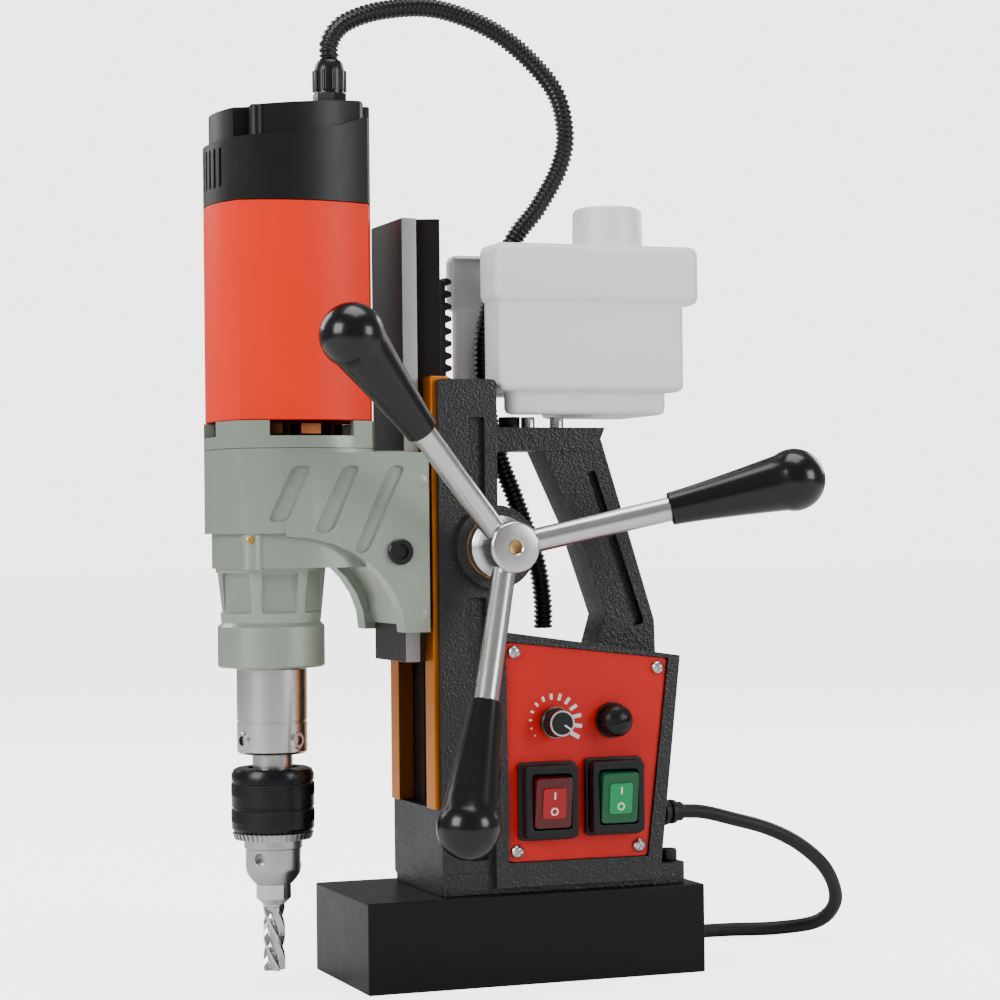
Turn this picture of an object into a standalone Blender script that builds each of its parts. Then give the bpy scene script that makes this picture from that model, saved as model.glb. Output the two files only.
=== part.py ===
"""Magnetic drill press: magnet base, cast stand, rack-fed drill carriage and geared spindle.

Units are metres. X runs across the machine towards its control side, Y runs from the drill
to the rear, Z is up. The origin is the centre of the magnet's lower face. A piece that moves
hangs from an empty on its joint's axis.
"""

import math

import bmesh
import bpy
from mathutils import Matrix, Vector

# --- Clearances -----------------------------------------------------------------------------
GAP = 0.0003                  # between two pieces that touch
RUNNING = 0.0001              # radial, between a shaft and its bearing
SLIDING = 0.00025             # between the slide and its rails
BACKLASH = 0.0003             # between two meshed teeth

# --- Magnet ---------------------------------------------------------------------------------
MAGNET_LENGTH = 0.180
MAGNET_WIDTH = 0.090
MAGNET_HEIGHT = 0.045
POLE_WALL = 0.012
COIL_WIDTH = 0.014
COIL_DEPTH = 0.026

# --- Cast stand -----------------------------------------------------------------------------
COLUMN_HALF_WIDTH = 0.038
COLUMN_FRONT = -0.049
COLUMN_REAR = -0.018
COLUMN_TOP = 0.302
FLANGE_THICKNESS = 0.0104
FLANGE_REAR = 0.083
HANDLE_HALF_WIDTH = 0.013
HANDLE_BAR_TOP = 0.279
HANDLE_BAR_THICKNESS = 0.012
HANDLE_BAR_REAR = 0.051
BOSS_RADIUS = 0.021
BOSS_NEAR_FACE = 0.042
BASE_SCREW_SPOT = (0.028, 0.077)
BASE_SCREW_RADIUS = 0.0048
BASE_SCREW_HEIGHT = 0.0062

# --- Control box ----------------------------------------------------------------------------
BOX_NEAR_FACE = 0.042
BOX_FAR_FACE = -0.040
BOX_WALL = 0.005
BOX_OUTLINE = [(-0.022, 0.0765), (0.0665, 0.0510), (0.0790, 0.1617), (-0.022, 0.1765)]
PANEL_OUTLINE = [(-0.0148, 0.0609), (0.0600, 0.0606), (0.0722, 0.1603), (-0.0155, 0.1705)]
PANEL_THICKNESS = 0.0016
PANEL_FACE = 0.0405
PANEL_LEDGE = 0.008
PANEL_SCREW_SPOTS = [(-0.0105, 0.0660), (0.0556, 0.0660), (0.0668, 0.1557), (-0.0112, 0.1655)]
SCREW_SHANK_RADIUS = 0.0016
SCREW_HEAD_RADIUS = 0.0034
SWITCH_SPOTS = {"motor": (0.0052, 0.0908), "magnet": (0.0411, 0.0918)}
SWITCH_HALF_SIZE = (0.0155, 0.0196)
SWITCH_BODY_HALF_SIZE = (0.0105, 0.0130)
SWITCH_GUARD_FACE = 0.0500
ROCKER_HALF_SIZE = (0.0098, 0.0128)
ROCKER_DEPTH = 0.0065
ROCKER_TILT = math.radians(7)
KNOB_SPOT = (0.0092, 0.1300)
KNOB_RADIUS = 0.0078
KNOB_HEIGHT = 0.013
POT_SHAFT_RADIUS = 0.003
FUSE_SPOT = (0.0412, 0.1299)
FUSE_RADIUS = 0.0079
CORD_EXIT_HEIGHT = 0.0774

# --- Feed: pinion, rack and levers ----------------------------------------------------------
CAPSTAN_Y = -0.020
CAPSTAN_Z = 0.218
FEED_MODULE = 0.002
PINION_TEETH = 12
PINION_HALF_WIDTH = 0.0085
CAPSTAN_SHAFT_RADIUS = 0.006
NEAR_BUSH_RADIUS = 0.016
FAR_BUSH_RADIUS = 0.0095
HUB_RADIUS = 0.01285
HUB_BACK = 0.0425
HUB_FRONT = 0.069
ROD_RADIUS = 0.006
ROD_CROSSING = 0.0560
LEVER_COUNT = 3
LEVER_PHASE = math.radians(13.4)
LEVER_LEAN = math.radians(19.6)
BALL_REACH = 0.1455
BALL_RADIUS = 0.0155
GRIP_NECK_RADIUS = 0.0082
GRIP_LENGTH = 0.0785

# --- Slide, rails and rack ------------------------------------------------------------------
SLIDE_BOTTOM = 0.161
SLIDE_LENGTH = 0.222
SLIDE_HALF_WIDTH = 0.025
SLIDE_FRONT = -0.0627
SLIDE_PLATE = 0.0077
SLIDE_REAR = -0.0425
DOVETAIL_NARROW = 0.0212
DOVETAIL_WIDE = 0.0247
RAIL_FRONT = -0.0515
RAIL_OUTER = 0.0345
RAIL_BOTTOM = 0.088
RAIL_OVERHANG = 0.0015
RACK_HALF_WIDTH = 0.008
RACK_BACK_THICKNESS = 0.0077
RACK_TOP = 0.354
RACK_TEETH = 30
STUB_ADDENDUM = 0.65
DEDENDUM = 0.95
PRESSURE_ANGLE = math.radians(20)

# --- Drill unit -----------------------------------------------------------------------------
SPINDLE_Y = -0.125
MOTOR_Y = -0.117
MOTOR_CORNER_X = 0.0305
MOTOR_FRONT = -0.148
MOTOR_REAR = -0.082
MOTOR_BULGE = 0.008
MOTOR_WALL = 0.003
MOTOR_TOP = 0.3885
MOTOR_BOTTOM = 0.2814
CASE_STEP = 0.0008
CASE_WALL = 0.004
CASE_BOTTOM = 0.226
CASE_TOP = 0.2674
CASE_FLOOR = 0.228
COVER_FLOOR = 0.0034
CHEEK_INNER = 0.0262
CHEEK_OUTER = 0.0388
CHEEK_REAR = -0.0545
CHEEK_BOTTOM = 0.1764
NECK_TOP = 0.209
COLLAR_TOP = 0.182
COLLAR_BOTTOM = 0.1597
COLLAR_RADIUS = 0.0267
LOWER_BEARING_RADIUS = 0.0207
LOWER_BEARING_HEIGHT = 0.012
UPPER_BEARING_RADIUS = 0.0125
UPPER_BEARING_HEIGHT = 0.010
CAP_FRONT_HEIGHT = 0.431
CAP_REAR_HEIGHT = 0.441
CAP_RING_FRONT = 0.4175
CAP_RING_REAR = 0.4320
GLAND_Y = -0.092

# --- Gear train -----------------------------------------------------------------------------
GEAR_MODULE = 0.001
SMALL_TEETH = 10
LARGE_TEETH = 25
SPINDLE_GEAR_BOTTOM = 0.2310
ARMATURE_GEAR_BOTTOM = 0.2460
GEAR_FACE = 0.010
LARGE_GEAR_DROP = 0.0040      # how far the intermediate wheel reaches below the armature's pinion
COUNTERSHAFT_RADIUS = 0.0035

# --- Spindle, chuck and cutter --------------------------------------------------------------
ARBOR_RADIUS = 0.0175
ARBOR_BOTTOM = 0.1167
ARBOR_TOP = 0.1594
SPINDLE_RADIUS = 0.010
SPINDLE_TIP_RADIUS = 0.008
SPINDLE_TOP = 0.2414
SHANK_RADIUS = 0.0095
SLEEVE_RADIUS = 0.02075
SLEEVE_TOP = 0.1098
SLEEVE_BOTTOM = 0.0743
CHUCK_RADIUS = 0.0145
CHUCK_NOSE_TOP = 0.0556
CHUCK_BOTTOM = 0.0521
CUTTER_SHANK_RADIUS = 0.006
CUTTER_COLLAR_RADIUS = 0.00865
CUTTER_RADIUS = 0.00545
CUTTER_TIP = 0.0088
CUTTER_FLUTES = 4

# --- Coolant tank ---------------------------------------------------------------------------
TANK_WALL = 0.0018
TANK_HALF_WIDTH = 0.040
TANK_FRONT = -0.0155
TANK_REAR = 0.086
TANK_BASE = 0.285
TANK_FOOT_TOP = 0.297
TANK_BAND_BOTTOM = 0.341
TANK_TOP = 0.371
TANK_BAND_STEP = 0.0025
TANK_FOOT_STEP = 0.007
TANK_BAND_REAR_STEP = 0.008
TANK_NOTCH = (-0.028, 0.012, 0.024)
FILLER_Y = 0.059
FILLER_RADIUS = 0.0140
FILLER_TOP = 0.389
TANK_CAP_RADIUS = 0.0184
TANK_CAP_TOP = 0.394
STUD_SPOTS = [(0.0, 0.0133), (0.0, 0.0293)]
STUD_RADIUS = 0.0036
OUTLET_SPOT = (0.0, 0.003)

# --- Hose and mains cord --------------------------------------------------------------------
CONDUIT_RADIUS = 0.005
CONDUIT_ROUTE = [
    (-0.0220, 0.0292, 0.1748), (-0.0220, 0.0290, 0.1900), (-0.0220, 0.0255, 0.2110),
    (-0.0220, 0.0145, 0.2420), (-0.0225, 0.0060, 0.2640), (-0.0215, -0.0010, 0.2900),
    (-0.0180, -0.0045, 0.3150), (-0.0160, -0.0030, 0.3350), (-0.0150, 0.0100, 0.3740),
    (-0.0140, 0.0260, 0.3960), (-0.0130, 0.0380, 0.4180), (-0.0110, 0.0400, 0.4380),
    (-0.0080, 0.0305, 0.4600), (-0.0050, 0.0020, 0.4830), (-0.0020, -0.0320, 0.4937),
    (0.0, -0.0620, 0.4915), (0.0, -0.0830, 0.4840), (0.0, -0.0915, 0.4740), (0.0, -0.0920, 0.4645),
]
CORD_RADIUS = 0.00375
CORD_ROUTE = [
    (0.0, 0.0983, 0.0774), (0.0, 0.1100, 0.0765), (0.0, 0.1260, 0.0724), (-0.001, 0.1495, 0.0654),
    (-0.003, 0.1700, 0.0550), (-0.009, 0.1880, 0.0400), (-0.021, 0.1990, 0.0220),
    (-0.036, 0.1960, 0.0090), (-0.050, 0.1780, 0.0043), (-0.0565, 0.1500, 0.0041),
    (-0.0577, 0.1200, 0.0041), (-0.05775, 0.0995, 0.0041),
]
COIL_CENTRE = (-0.104, 0.072)
COIL_OUTER_RADIUS = 0.050
COIL_INNER_RADIUS = 0.0275
COIL_HEIGHT = 0.0152
TAIL_ROUTE = [
    (-0.1350, 0.0790, 0.0195), (-0.1470, 0.0810, 0.0198), (-0.1570, 0.0815, 0.0180),
    (-0.1660, 0.0815, 0.0120), (-0.1760, 0.0810, 0.0080), (-0.1860, 0.0810, 0.0080),
]
PLUG_LOW = (-0.2240, 0.0685, 0.0005)
PLUG_HIGH = (-0.1867, 0.0935, 0.0160)

UNIT = {"X": Vector((1, 0, 0)), "Y": Vector((0, 1, 0)), "Z": Vector((0, 0, 1))}
FINISHES = {
    "black_paint": ((0.015, 0.015, 0.017), 0.55, 0.0),
    "cast_paint": ((0.035, 0.035, 0.038), 0.75, 0.0),
    "epoxy": ((0.05, 0.03, 0.02), 0.50, 0.0),
    "gold_anodised": ((0.60, 0.20, 0.03), 0.40, 0.9),
    "bronze": ((0.60, 0.40, 0.18), 0.40, 1.0),
    "red_paint": ((0.72, 0.03, 0.02), 0.45, 0.0),
    "zinc": ((0.75, 0.75, 0.74), 0.30, 1.0),
    "board": ((0.02, 0.20, 0.08), 0.50, 0.0),
    "black_plastic": ((0.02, 0.02, 0.02), 0.45, 0.0),
    "red_plastic": ((0.45, 0.01, 0.02), 0.20, 0.0),
    "green_plastic": ((0.01, 0.35, 0.12), 0.20, 0.0),
    "white_plastic": ((0.85, 0.85, 0.84), 0.40, 0.0),
    "rubber": ((0.02, 0.02, 0.02), 0.70, 0.0),
    "polished_steel": ((0.70, 0.70, 0.70), 0.15, 1.0),
    "ground_steel": ((0.55, 0.55, 0.55), 0.30, 1.0),
    "dark_steel": ((0.08, 0.08, 0.09), 0.35, 1.0),
    "slide_paint": ((0.10, 0.08, 0.09), 0.35, 0.8),
    "grey_paint": ((0.45, 0.48, 0.42), 0.35, 0.3),
    "orange_plastic": ((0.90, 0.12, 0.03), 0.35, 0.0),
    "copper": ((0.70, 0.32, 0.16), 0.40, 1.0),
}


# --- Blender helpers ------------------------------------------------------------------------
def clear_scene():
    """Remove every object that the file opened with."""
    for item in list(bpy.data.objects):
        bpy.data.objects.remove(item, do_unlink=True)


def finish_of(name):
    """Return the material of one named finish, made on first use."""
    if name in bpy.data.materials:
        return bpy.data.materials[name]
    colour, roughness, metallic = FINISHES[name]
    made = bpy.data.materials.new(name)
    made.use_nodes = True
    shader = made.node_tree.nodes["Principled BSDF"]
    shader.inputs["Base Color"].default_value = (*colour, 1.0)
    shader.inputs["Roughness"].default_value = roughness
    shader.inputs["Metallic"].default_value = metallic
    return made


def world_place(item):
    """Return the world location of an unrotated empty, or the origin for none."""
    place = Vector((0, 0, 0))
    while item is not None:
        place += item.location
        item = item.parent
    return place


def add_empty(name, location, parent=None, rotation=(0, 0, 0)):
    """Add an empty that carries the pieces of one moving body."""
    item = bpy.data.objects.new(name, None)
    bpy.context.collection.objects.link(item)
    item.parent = parent
    item.location = Vector(location) - world_place(parent)
    item.rotation_euler = rotation
    return item


def add_local(name, shape, finish, parent, rotation=(0, 0, 0)):
    """Add an object whose shape is already given in its parent's frame."""
    mesh = bpy.data.meshes.new(name)
    shape.to_mesh(mesh)
    shape.free()
    mesh.materials.append(finish_of(finish))
    mesh.shade_smooth()
    mesh.set_sharp_from_angle(angle=math.radians(30))
    item = bpy.data.objects.new(name, mesh)
    bpy.context.collection.objects.link(item)
    item.parent = parent
    item.rotation_euler = rotation
    return item


def add_piece(name, shape, finish, parent):
    """Add an object from a shape in world coordinates, with its origin on its parent."""
    bmesh.ops.translate(shape, vec=-world_place(parent), verts=shape.verts)
    return add_local(name, shape, finish, parent)


def change(piece, operation, label, shapes):
    """Cut or join world-space shapes into a piece with Boolean modifiers."""
    for number, shape in enumerate(shapes, start=1):
        tool = add_piece(f"{piece.name}_{label}_{number}", shape, "zinc", piece.parent)
        tool.hide_render = True
        tool.display_type = "WIRE"
        step = piece.modifiers.new(tool.name, "BOOLEAN")
        step.operation = operation
        step.object = tool
    return piece


def cut(piece, *shapes):
    """Take shapes away from a piece."""
    return change(piece, "DIFFERENCE", "cut", shapes)


def join(piece, *shapes):
    """Weld shapes onto a piece, so that it stays one closed body."""
    return change(piece, "UNION", "join", shapes)


# --- Shapes ---------------------------------------------------------------------------------
def box(low, high):
    """Return a rectangular block between two corners."""
    low, high = Vector(low), Vector(high)
    shape = bmesh.new()
    bmesh.ops.create_cube(shape, size=1.0)
    bmesh.ops.scale(shape, vec=high - low, verts=shape.verts)
    bmesh.ops.translate(shape, vec=(low + high) / 2, verts=shape.verts)
    return shape


def lifted(point, axis, along):
    """Place a flat point on the plane across an axis: X takes (y, z), Y (x, z), Z (x, y)."""
    first, second = point
    if axis == "X":
        return Vector((along, first, second))
    if axis == "Y":
        return Vector((first, along, second))
    return Vector((first, second, along))


def prism(outline, axis, low, high):
    """Return an outline extruded along an axis."""
    shape = bmesh.new()
    face = shape.faces.new([shape.verts.new(lifted(point, axis, low)) for point in outline])
    grown = bmesh.ops.extrude_face_region(shape, geom=[face])
    moved = [part for part in grown["geom"] if isinstance(part, bmesh.types.BMVert)]
    bmesh.ops.translate(shape, vec=UNIT[axis] * (high - low), verts=moved)
    bmesh.ops.recalc_face_normals(shape, faces=shape.faces[:])
    return shape


def ring_prism(outer, inner, axis, low, high):
    """Return a tube between two outlines that have as many points each."""
    shape = bmesh.new()
    loops = []
    for outline, along in ((outer, low), (outer, high), (inner, high), (inner, low)):
        loops.append([shape.verts.new(lifted(point, axis, along)) for point in outline])
    count = len(outer)
    for start, end in zip(loops, loops[1:] + loops[:1]):
        for index in range(count):
            after = (index + 1) % count
            shape.faces.new((start[index], start[after], end[after], end[index]))
    bmesh.ops.recalc_face_normals(shape, faces=shape.faces[:])
    return shape


def turned(profile, axis="Z", centre=(0, 0, 0), segments=24, closed=False):
    """Return a profile of (radius, along) points spun about an axis through the centre."""
    centre = Vector(centre)
    outward = {"X": UNIT["Y"], "Y": UNIT["Z"], "Z": UNIT["X"]}[axis]
    shape = bmesh.new()
    points = [shape.verts.new(centre + outward * r + UNIT[axis] * along) for r, along in profile]
    pairs = list(zip(points, points[1:]))
    if closed:
        pairs.append((points[-1], points[0]))
    edges = [shape.edges.new(pair) for pair in pairs]
    bmesh.ops.spin(shape, geom=points + edges, cent=centre, axis=UNIT[axis],
                   angle=math.tau, steps=segments, use_merge=True)
    bmesh.ops.remove_doubles(shape, verts=shape.verts, dist=1e-6)
    bmesh.ops.recalc_face_normals(shape, faces=shape.faces[:])
    return shape


def rod(radius, axis, centre, low, high, segments=24):
    """Return a plain cylinder along an axis."""
    profile = [(0, low), (radius, low), (radius, high), (0, high)]
    return turned(profile, axis, centre, segments)


def sleeve(outer, inner, axis, centre, low, high, segments=24):
    """Return a plain ring along an axis."""
    profile = [(inner, low), (outer, low), (outer, high), (inner, high)]
    return turned(profile, axis, centre, segments, closed=True)


def twisted(outline, centre, low, high, turn, layers):
    """Return an outline carried up Z while it turns by an angle."""
    shape = bmesh.new()
    rings = []
    for layer in range(layers + 1):
        share = layer / layers
        spin = Matrix.Rotation(turn * share, 2)
        height = low + (high - low) * share
        ring = []
        for point in outline:
            x, y = spin @ Vector(point)
            ring.append(shape.verts.new((centre[0] + x, centre[1] + y, height)))
        rings.append(ring)
    count = len(outline)
    for lower, upper in zip(rings, rings[1:]):
        for index in range(count):
            after = (index + 1) % count
            shape.faces.new((lower[index], lower[after], upper[after], upper[index]))
    shape.faces.new(rings[0])
    shape.faces.new(rings[-1])
    bmesh.ops.recalc_face_normals(shape, faces=shape.faces[:])
    return shape


# --- Outlines -------------------------------------------------------------------------------
def rounded(corners, radius, steps=3):
    """Return a polygon with each corner rounded by the same radius."""
    points = []
    for index, corner in enumerate(corners):
        here = Vector(corner)
        back = (Vector(corners[index - 1]) - here).normalized()
        ahead = (Vector(corners[(index + 1) % len(corners)]) - here).normalized()
        half_angle = back.angle(ahead) / 2
        centre = here + (back + ahead).normalized() * radius / math.sin(half_angle)
        reach = radius / math.tan(half_angle)
        start = here + back * reach - centre
        end = here + ahead * reach - centre
        first = math.atan2(start.y, start.x)
        sweep = math.remainder(math.atan2(end.y, end.x) - first, math.tau)
        for step in range(steps + 1):
            angle = first + sweep * step / steps
            points.append((centre.x + radius * math.cos(angle), centre.y + radius * math.sin(angle)))
    return points


def rounded_rectangle(centre, half_size, radius, steps=3):
    """Return a rounded rectangle about a centre."""
    (u, v), (a, b) = centre, half_size
    return rounded([(u - a, v - b), (u + a, v - b), (u + a, v + b), (u - a, v + b)], radius, steps)


def inset(corners, distance):
    """Return a convex polygon, given anticlockwise, with each side moved inwards."""
    moved = []
    for index, corner in enumerate(corners):
        here = Vector(corner)
        before = (here - Vector(corners[index - 1])).normalized()
        after = (Vector(corners[(index + 1) % len(corners)]) - here).normalized()
        inward_before = Vector((-before.y, before.x))
        inward_after = Vector((-after.y, after.x))
        shift = (inward_before + inward_after) / (1 + inward_before.dot(inward_after))
        moved.append(tuple(here + shift * distance))
    return moved


def bulged(corners, bulge, steps=6):
    """Return a polygon, given anticlockwise, whose sides swell outwards as arcs."""
    points = []
    for index, corner in enumerate(corners):
        start = Vector(corner)
        chord = Vector(corners[(index + 1) % len(corners)]) - start
        outward = Vector((chord.y, -chord.x)).normalized()
        radius = (chord.length ** 2 / 4 + bulge ** 2) / (2 * bulge)
        half_angle = math.asin(chord.length / 2 / radius)
        centre = start + chord / 2 - outward * (radius - bulge)
        first = math.atan2(start.y - centre.y, start.x - centre.x)
        for step in range(steps):
            angle = first + 2 * half_angle * step / steps
            points.append((centre.x + radius * math.cos(angle), centre.y + radius * math.sin(angle)))
    return points


def motor_section(step_in=0.0):
    """Return the motor's plan outline, moved inwards by a distance."""
    x = MOTOR_CORNER_X - step_in
    front, rear = MOTOR_FRONT + step_in, MOTOR_REAR - step_in
    return bulged([(-x, front), (x, front), (x, rear), (-x, rear)], MOTOR_BULGE)


def circle_like(outline, centre, radius):
    """Return points on a circle, one in the direction of each point of an outline."""
    points = []
    for u, v in outline:
        ray = Vector((u - centre[0], v - centre[1])).normalized() * radius
        points.append((centre[0] + ray.x, centre[1] + ray.y))
    return points


def gear_outline(teeth, module, centre, phase):
    """Return a stub-toothed involute gear with one tooth centred on the phase angle."""
    pitch = teeth * module / 2
    base = pitch * math.cos(PRESSURE_ANGLE)
    tip = pitch + STUB_ADDENDUM * module
    root = pitch - DEDENDUM * module
    half_tooth = math.pi / (2 * teeth) - BACKLASH / (4 * pitch)
    at_pitch = math.tan(PRESSURE_ANGLE) - PRESSURE_ANGLE
    side = [(root, half_tooth + at_pitch)]
    for radius in (pitch, tip):
        roll = math.acos(base / radius)
        side.append((radius, half_tooth + at_pitch - (math.tan(roll) - roll)))
    points = []
    for tooth in range(teeth):
        middle = phase + math.tau * tooth / teeth
        polar = [(r, middle - a) for r, a in side] + [(r, middle + a) for r, a in reversed(side)]
        points += [(centre[0] + r * math.cos(a), centre[1] + r * math.sin(a)) for r, a in polar]
    return points


def rack_outline(front, pitch_y, gap_z, low_z):
    """Return the rack's side view: a bar with teeth facing the rear, one gap centred on gap_z."""
    pitch = math.pi * FEED_MODULE
    tip = pitch_y + STUB_ADDENDUM * FEED_MODULE
    root = pitch_y - DEDENDUM * FEED_MODULE
    slope = math.tan(PRESSURE_ANGLE)
    half_tooth = pitch / 4 - BACKLASH / 4
    first = gap_z + pitch / 2 - pitch * math.floor((gap_z + pitch / 2 - low_z) / pitch)
    high_z = low_z + pitch * RACK_TEETH
    points = [(front, high_z), (front, low_z), (root, low_z)]
    for tooth in range(RACK_TEETH):
        middle = first + pitch * tooth
        wide = half_tooth + (pitch_y - root) * slope
        narrow = half_tooth - (tip - pitch_y) * slope
        points += [(root, middle - wide), (tip, middle - narrow), (tip, middle + narrow),
                   (root, middle + wide)]
    points.append((root, high_z))
    return points


def flute_outline():
    """Return the cutter's cross-section, a disc with one hollow for each flute."""
    points = []
    for index in range(CUTTER_FLUTES * 5):
        angle = math.tau * index / (CUTTER_FLUTES * 5)
        depth = (0.0, 0.0, 0.35, 0.45, 0.30)[index % 5]
        radius = CUTTER_RADIUS * (1 - depth)
        points.append((radius * math.cos(angle), radius * math.sin(angle)))
    return points


# --- Curves ---------------------------------------------------------------------------------
def smooth_route(points, spacing):
    """Return points on a smooth curve through the given ones: even, and square at both ends."""
    ends = [points[0]] + list(points) + [points[-1]]
    ends = [Vector(point) for point in ends]
    fine = []
    for before, start, end, after in zip(ends, ends[1:], ends[2:], ends[3:]):
        for step in range(20):
            t = step / 20
            fine.append(0.5 * (2 * start + (end - before) * t
                               + (2 * before - 5 * start + 4 * end - after) * t ** 2
                               + (3 * start - before - 3 * end + after) * t ** 3))
    fine.append(ends[-1])
    total = sum((b - a).length for a, b in zip(fine, fine[1:]))
    count = max(2, round(total / spacing))
    stations, travelled, wanted = [fine[0], fine[2]], 0.0, 1
    for a, b in zip(fine, fine[1:]):
        travelled += (b - a).length
        if travelled >= wanted * total / count and wanted < count:
            stations.append(b)
            wanted += 1
    return stations + [fine[-3], fine[-1]]


def add_tube(name, route, radius, finish, parent):
    """Add a round tube with filled ends along a route."""
    curve = bpy.data.curves.new(name, "CURVE")
    curve.dimensions = "3D"
    curve.bevel_depth = radius
    curve.bevel_resolution = 2
    curve.render_resolution_u = 0
    curve.use_fill_caps = True
    stations = smooth_route(route, radius * 5)
    spline = curve.splines.new("POLY")
    spline.points.add(len(stations) - 1)
    for point, station in zip(spline.points, stations):
        point.co = (*station, 1.0)
    curve.materials.append(finish_of(finish))
    item = bpy.data.objects.new(name, curve)
    bpy.context.collection.objects.link(item)
    item.parent = parent
    return item


# --- Stand ----------------------------------------------------------------------------------
def build_magnet(stand):
    """Make the magnet block with its coil in a groove in the lower face."""
    half_x, half_y = MAGNET_WIDTH / 2, MAGNET_LENGTH / 2
    block = add_piece("magnet_base", box((-half_x, -half_y, 0), (half_x, half_y, MAGNET_HEIGHT)),
                      "black_paint", stand)
    outer = (half_x - POLE_WALL, half_y - POLE_WALL)
    inner = (outer[0] - COIL_WIDTH, outer[1] - COIL_WIDTH)
    groove = ring_prism(rounded_rectangle((0, 0), outer, 0.008), rounded_rectangle((0, 0), inner, 0.004),
                        "Z", -0.001, COIL_DEPTH)
    cut(block, groove)
    coil_outer = (outer[0] - GAP, outer[1] - GAP)
    coil_inner = (inner[0] + GAP, inner[1] + GAP)
    coil = ring_prism(rounded_rectangle((0, 0), coil_outer, 0.008 - GAP),
                      rounded_rectangle((0, 0), coil_inner, 0.004 + GAP), "Z", GAP, COIL_DEPTH - GAP)
    add_piece("magnet_coil", coil, "epoxy", stand)


def box_top(y):
    """Return the height of the control box's sloping top at a place along Y."""
    (rear, rear_z), (front, front_z) = BOX_OUTLINE[2], BOX_OUTLINE[3]
    return front_z + (rear_z - front_z) * (y - front) / (rear - front)


def box_rear(z):
    """Return the place of the control box's sloping rear wall at a height."""
    (low_y, low_z), (high_y, high_z) = BOX_OUTLINE[1], BOX_OUTLINE[2]
    return low_y + (high_y - low_y) * (z - low_z) / (high_z - low_z)


def handle_leg():
    """Return the side view of the leg that joins the handle bar to the control box."""
    top = HANDLE_BAR_TOP - HANDLE_BAR_THICKNESS / 2
    sunk = 0.002
    return [(0.0145, top), (0.0340, 0.2310), (0.0509, 0.1820), (0.0457, box_top(0.0457) - sunk),
            (0.0785, box_top(0.0785) - sunk), (0.0780, 0.1790), (0.0491, top)]


def build_casting(stand):
    """Make the cast column with its flange, handle and control box as one body."""
    base = MAGNET_HEIGHT + GAP
    sunk = 0.003
    column = rounded([(COLUMN_FRONT, base + sunk), (COLUMN_REAR, base + sunk),
                      (COLUMN_REAR, COLUMN_TOP), (COLUMN_FRONT, COLUMN_TOP)], 0.002, 2)
    width = COLUMN_HALF_WIDTH
    casting = add_piece("stand_casting", prism(column, "X", -width, width), "cast_paint", stand)
    flange = rounded_rectangle((0, (COLUMN_FRONT + FLANGE_REAR) / 2),
                               (width + 0.0005, (FLANGE_REAR - COLUMN_FRONT) / 2), 0.004)
    bar_low = HANDLE_BAR_TOP - HANDLE_BAR_THICKNESS
    overlap = COLUMN_REAR - 0.004
    bar = [(overlap, bar_low), (HANDLE_BAR_REAR - 0.005, bar_low), (HANDLE_BAR_REAR, HANDLE_BAR_TOP),
           (overlap, HANDLE_BAR_TOP)]
    grip = HANDLE_HALF_WIDTH
    control_box = [(overlap, base + sunk), (BOX_OUTLINE[1][0], base + sunk), BOX_OUTLINE[2],
                   (overlap, box_top(overlap))]
    capstan = (0, CAPSTAN_Y, CAPSTAN_Z)
    join(casting,
         prism(flange, "Z", base, base + FLANGE_THICKNESS),
         prism(control_box, "X", BOX_FAR_FACE, BOX_NEAR_FACE),
         prism(bar, "X", -grip, grip),
         prism(handle_leg(), "X", 0.001 - grip, grip - 0.001),
         rod(BOSS_RADIUS, "X", capstan, -BOSS_NEAR_FACE, BOSS_NEAR_FACE, 32))
    slide_room = box((-RAIL_OUTER - GAP, COLUMN_FRONT - 0.01, RAIL_BOTTOM - GAP),
                     (RAIL_OUTER + GAP, SLIDE_REAR + 0.0006, COLUMN_TOP + 0.01))
    pitch_y = CAPSTAN_Y - FEED_MODULE * PINION_TEETH / 2
    rack_room = box((-RACK_HALF_WIDTH - 0.0015, COLUMN_FRONT - 0.01, RAIL_BOTTOM),
                    (RACK_HALF_WIDTH + 0.0015, pitch_y + 2.3 * FEED_MODULE, COLUMN_TOP + 0.01))
    near_bore = rod(NEAR_BUSH_RADIUS + GAP, "X", capstan, -PINION_HALF_WIDTH - 0.0015, 0.06, 32)
    far_bore = rod(FAR_BUSH_RADIUS + GAP, "X", capstan, -0.06, 0, 32)
    panel_seat = prism(inset(PANEL_OUTLINE, -GAP), "X", PANEL_FACE - PANEL_THICKNESS - GAP, 0.06)
    cavity = prism(rounded(inset(PANEL_OUTLINE, PANEL_LEDGE), 0.004), "X",
                   BOX_FAR_FACE + BOX_WALL, 0.06)
    cord_hole = rod(0.0064, "Y", (0, 0, CORD_EXIT_HEIGHT), 0.045, 0.09)
    cut(casting, slide_room, rack_room, near_bore, far_bore, panel_seat, cavity, cord_hole)
    cut(casting, *side_pockets())
    for y, z in PANEL_SCREW_SPOTS:
        cut(casting, rod(SCREW_SHANK_RADIUS + GAP, "X", (0, y, z), 0.030, 0.06, 12))
    for x in (BASE_SCREW_SPOT[0], -BASE_SCREW_SPOT[0]):
        cut(casting, rod(SCREW_SHANK_RADIUS + GAP, "Z", (x, BASE_SCREW_SPOT[1], 0), base + sunk, 0.07, 12))
    for x, y in STUD_SPOTS:
        cut(casting, rod(STUD_RADIUS + GAP, "Z", (x, y, 0), HANDLE_BAR_TOP - 0.008, 0.29, 16))


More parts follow.
